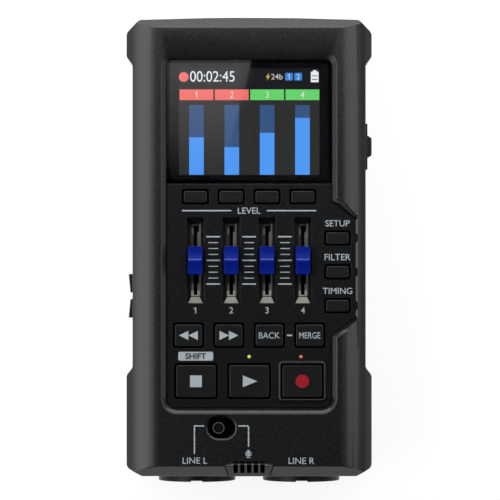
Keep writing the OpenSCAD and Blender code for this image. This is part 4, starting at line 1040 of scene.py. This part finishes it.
class RECORDER_OT_prints(RecorderOperator, bpy.types.Operator):
    """Lines, scales and lettering on the panel and the face"""

    bl_idname = "recorder.prints"
    bl_label = "Prints"

    # Middles of the heading and the track numbers above and below the faders, and of words above side keys
    HEADING_RISE, NUMBERS_DROP, WORDS_RISE = mm(17.4, 17.5, 5.2)
    SCALE_PITCH = 2.07 * MM
    # The corner lines from the bowl down to the words: both ends of the level line, and the drop
    CORNERS = (mm(-19.1, -15.7, 9.8), mm(-0.2, -3.56, 7.3))

    def execute(self, context):
        self.take(context)
        self.ink = ink("panel_ink", self.colours.print)
        self.height, self.line = self.sizes.letter_height, self.sizes.line_width
        self.on_panel()
        self.on_face()
        return {"FINISHED"}

    def on_panel(self):
        bm = bmesh.new()
        top = top_of("display_window")
        low, high = top - ROOT, top + self.sizes.print_height
        columns = [middle_of(f"fader_cap_{i}").x for i in TRACKS]
        middle = middle_of("fader_cap_1").y
        heading = middle + self.HEADING_RISE
        for side in SIDES:
            bar(bm, (side * 14.85 * MM, heading), (17.3 * MM, self.line), low, high)
        lettering(bm, "LEVEL", (0, heading), self.height, low, high)
        for left, right in zip(columns, columns[1:]):
            for step in range(-4, 5):
                size = (4.8 * MM, self.line) if step % 4 == 0 else (3.4 * MM, 0.7 * self.line)
                bar(bm, ((left + right) / 2, middle + step * self.SCALE_PITCH), size, low, high)
        for i, x in enumerate(columns):
            numeral(bm, i + 1, (x, middle - self.NUMBERS_DROP), self.height, low, high)
        for node, words in SIDE_KEYS.items():
            centre = middle_of(node)
            lettering(bm, words, (centre.x, centre.y + self.WORDS_RISE), self.height, low, high)
        row = middle_of("undo_key").y
        bar(bm, (14.15 * MM, row), mm(1.8, 0.5), low, high)
        ground = (-18.7 * MM, middle_of("stop_key").y + 8.75 * MM)
        round_bar(bm, ground, mm(12.2, 3.1), 0.6 * MM, low, high)
        piece(bm, "panel_print", CASE, self.ink)
        bm = bmesh.new()
        lettering(bm, "SHIFT", ground, 2.2 * MM, high - 0.01 * MM, high + 0.01 * MM, weight=0.03)
        piece(bm, "plate_word", CASE, ink("plate_ink", tint("1c1f22"), gloss=0.2))

    def on_face(self):
        bm = bmesh.new()
        top = face_level()
        low, high = top - ROOT, top + self.sizes.print_height
        y = middle_of("selector_knob").y + 0.7 * MM
        half = self.line / 2
        for corner, end, drop in self.CORNERS:
            block(bm, (min(corner, end) - half, y - half, low), (max(corner, end), y + half, high))
            block(bm, (corner - half, y - drop, low), (corner + half, y - half, high))
        lettering(bm, "LINE L", (-18.95 * MM, y - 12.1 * MM), self.height, low, high)
        lettering(bm, "LINE R", (18.3 * MM, y - 12.2 * MM), self.height, low, high)
        self.microphone(bm, (-0.25 * MM, y - 9.6 * MM), low, high)
        piece(bm, "face_print", CASE, self.ink)

    def microphone(self, bm, centre, low, high):
        """A round-ended capsule in a stand, in place of a word."""
        x, y = centre
        round_bar(bm, (x, y + 0.35 * MM), mm(1.0, 1.7), 0.45 * MM, low, high)
        stem, foot, left, right, cup = (0, -1.1), (0, -1.4), (-0.85, 0.05), (0.85, 0.05), (0, -0.65)
        sizes = {stem: (0.3, 0.6), foot: (1.4, 0.3), left: (0.28, 1.1), right: (0.28, 1.1), cup: (1.98, 0.3)}
        for (dx, dy), size in sizes.items():
            bar(bm, (x + dx * MM, y + dy * MM), mm(*size), low, high)


class RECORDER_OT_lights(RecorderOperator, bpy.types.Operator):
    """Light pipes above the play and record keys"""

    bl_idname = "recorder.lights"
    bl_label = "Lights"

    # Radius of the bright core of a tip, and where it has faded
    CORE, FADED = mm(0.15, 0.62)

    def execute(self, context):
        self.take(context)
        for node in ("play_light", "record_light"):
            colour = getattr(self.colours, node)
            made = Finish(node + "_plastic").fix(Roughness=0.25, Emission_Strength=1.0)
            tip = (*middle_of(node).xy, top_of(node))
            core = made.spread(made.away(tip), 1.0, 0.0, self.CORE, self.FADED)
            deep = tuple(0.25 * level * level for level in colour[:3])
            made.feed("Base Color", made.between(core, deep, shaded(colour, 0.3)))
            made.feed("Emission Color", made.between(core, deep, colour))
            softened(node, node.replace("light", "lens"), 0.2 * MM, made.material, segments=3)
        return {"FINISHED"}


class RECORDER_OT_jacks(RecorderOperator, bpy.types.Operator):
    """Input jacks, headphone jack and sockets"""

    bl_idname = "recorder.jacks"
    bl_label = "Jacks"

    def execute(self, context):
        self.take(context)
        black = moulded("jack_plastic", tint("0b0b0c"), 0.4, 0.25, 0.003, 0.08, gloss=0.2)
        edge = self.sizes.fitting_edge
        for side in ("left", "right"):
            softened(f"input_jack_{side}", f"jack_body_{side}", edge, black)
        softened("phones_jack", "phones_body", edge * 0.6, black)
        dress(sheet_metal("contact_brass", tint("c9a24a"), 0.28), "jack_contacts")
        steel = sheet_metal("socket_steel", tint("b8b8b4"), 0.3)
        dress(steel, "usb_socket", "card_socket", "battery_contacts", "mic_capsule")
        return {"FINISHED"}


class RECORDER_OT_side_controls(RecorderOperator, bpy.types.Operator):
    """Power slider, volume keys and input selector"""

    bl_idname = "recorder.side_controls"
    bl_label = "Side controls"

    LIP_RADIUS, LIP_WIDTH, LIP_ROOT, LIP_HEIGHT = mm(2.0, 0.24, 0.03, 0.05)
    # Insets of the knob's top, one within the other, and how far each is sunk
    DISH = (mm(0.32, 0.0), mm(0.15, -0.35))

    def execute(self, context):
        self.take(context)
        grey = moulded("control_plastic", self.colours.case, 0.4, 0.25, 0.004)
        black = moulded("bezel_plastic", self.colours.panel, 0.42, 0.22, 0.004)
        edge = self.sizes.fitting_edge
        softened("power_bezel", "power_frame", edge * 0.8, black)
        softened("power_slider", "power_knob", edge * 1.2, grey, segments=3)
        for way in ("up", "down"):
            softened(f"volume_{way}_key", f"volume_{way}_cap", edge * 1.3, grey, segments=3)
        dark = moulded("selector_plastic", shaded(self.colours.panel, 0.5), 0.42, 0.22, 0.004, gloss=0.1)
        softened("selector_knob", "selector_top", edge * 0.8, dark, segments=3, shape=self.dished)
        self.lip()
        return {"FINISHED"}

    def lip(self):
        """A lighter ring on the knob's top, round its dish: a painted highlight of the knob's rim."""
        x, y = middle_of("selector_knob").xy
        place = Matrix.Translation((x, y, top_of("selector_knob") - self.LIP_ROOT))
        bm = bmesh.new()
        bmesh.ops.create_circle(bm, cap_ends=True, segments=48, radius=self.LIP_RADIUS, matrix=place)
        bmesh.ops.inset_region(bm, faces=bm.faces[:], thickness=self.LIP_WIDTH, use_boundary=True)
        inner = min(bm.faces, key=lambda f: (f.calc_center_median() - place.translation).length)
        bmesh.ops.delete(bm, geom=[inner], context="FACES")
        thicken(bm, bm.faces[:], self.LIP_HEIGHT)
        rim_highlight = ink("selector_lip_highlight", tint("46464a"), 0.4)
        piece(bm, "selector_lip", body_of("selector_knob"), rim_highlight)

    def dished(self, bm):
        """Sinks the middle of the knob's top inside a narrow ring."""
        top = max(v.co.z for v in bm.verts)
        middle = middle_of("selector_knob").xy
        for thickness, depth in self.DISH:
            faces = [f for f in bm.faces if f.normal.z > 0.99 and f.calc_center_median().z > top - SAME]
            inner = min(faces, key=lambda f: (f.calc_center_median().xy - middle).length)
            bmesh.ops.inset_region(bm, faces=[inner], thickness=thickness, depth=depth, use_even_offset=True)


class RECORDER_OT_inside(RecorderOperator, bpy.types.Operator):
    """Boards, switches, battery bay, feet and screws"""

    bl_idname = "recorder.inside"
    bl_label = "Inside and underside"

    def execute(self, context):
        self.take(context)
        black = moulded("inner_plastic", tint("242428"), 0.5)
        dress(black, "board_connector", "key_switches", "selector_body")
        dress(black, "power_switch", "volume_switches", "battery_tray")
        dress(moulded("holder_plastic", tint("e2e0d8"), 0.5), "lcd_holder")
        dress(moulded("display_back", tint("30363e"), 0.3), "lcd_module")
        dress(moulded("ribbon_film", tint("b07c30"), 0.35), "lcd_ribbon")
        dress(self.board(), "control_board", "main_board", "jack_board")
        rubber = moulded("foot_rubber", tint("151515"), 0.8, 0.4, 0.012)
        dress(rubber, "mic_boot")
        softened("rubber_feet", "feet", self.sizes.shell_edge, rubber, segments=3)
        dress(self.sleeve(), "battery_cells")
        dress(sheet_metal("screw_steel", tint("5a5a5e"), 0.35), "case_screws", "board_screws")
        return {"FINISHED"}

    def board(self):
        """Solder mask over copper runs."""
        made = Finish("board_mask").fix(Roughness=0.35)
        runs = made.node("ShaderNodeTexBrick", Vector=made.place, Scale=1 / (4.0 * MM))
        runs.inputs["Mortar Size"].default_value = 0.04
        made.feed("Base Color", made.between(runs.outputs["Fac"], tint("1a5236"), tint("2a7a4c")))
        return made.relief(runs.outputs["Fac"], 0.02).material

    def sleeve(self):
        """Printed film round a cell, with a grain along it."""
        made = Finish("cell_sleeve")
        grain = made.noise(0.6, 2.0, (1.0, 0.1, 1.0))
        made.feed("Base Color", made.between(made.spread(grain, 0, 1), tint("3c4450"), tint("4a5360")))
        return made.feed("Roughness", made.spread(grain, 0.25, 0.4)).material


OPERATORS = (
    RECORDER_OT_stage,
    RECORDER_OT_case,
    RECORDER_OT_panel,
    RECORDER_OT_keys,
    RECORDER_OT_faders,
    RECORDER_OT_display,
    RECORDER_OT_prints,
    RECORDER_OT_lights,
    RECORDER_OT_jacks,
    RECORDER_OT_side_controls,
    RECORDER_OT_inside,
)
GROUPS = {
    "recorder_sizes": RecorderSizes,
    "recorder_colours": RecorderColours,
    "recorder_stage": RecorderStage,
}


class RECORDER_PT_pieces(bpy.types.Panel):
    """Lists the recorder's pieces and their settings"""

    bl_label = "Recorder"
    bl_space_type = "VIEW_3D"
    bl_region_type = "UI"
    bl_category = "Recorder"

    def draw(self, context):
        for group in GROUPS:
            settings = getattr(context.scene, group)
            column = self.layout.column(align=True)
            for name in settings.bl_rna.properties.keys():
                if name not in ("rna_type", "name"):
                    column.prop(settings, name)
        for operator in OPERATORS:
            self.layout.operator(operator.bl_idname)


def register():
    for kind in (*GROUPS.values(), *OPERATORS, RECORDER_PT_pieces):
        bpy.utils.register_class(kind)
    for group, kind in GROUPS.items():
        setattr(bpy.types.Scene, group, PointerProperty(type=kind))


def unregister():
    for group in GROUPS:
        delattr(bpy.types.Scene, group)
    for kind in (RECORDER_PT_pieces, *reversed(OPERATORS), *reversed(list(GROUPS.values()))):
        bpy.utils.unregister_class(kind)


def main():
    register()
    for operator in OPERATORS:
        group, name = operator.bl_idname.split(".")
        if getattr(getattr(bpy.ops, group), name)() != {"FINISHED"}:
            raise RuntimeError(f"{operator.bl_label} could not be finished")


if __name__ == "__main__":
    main()
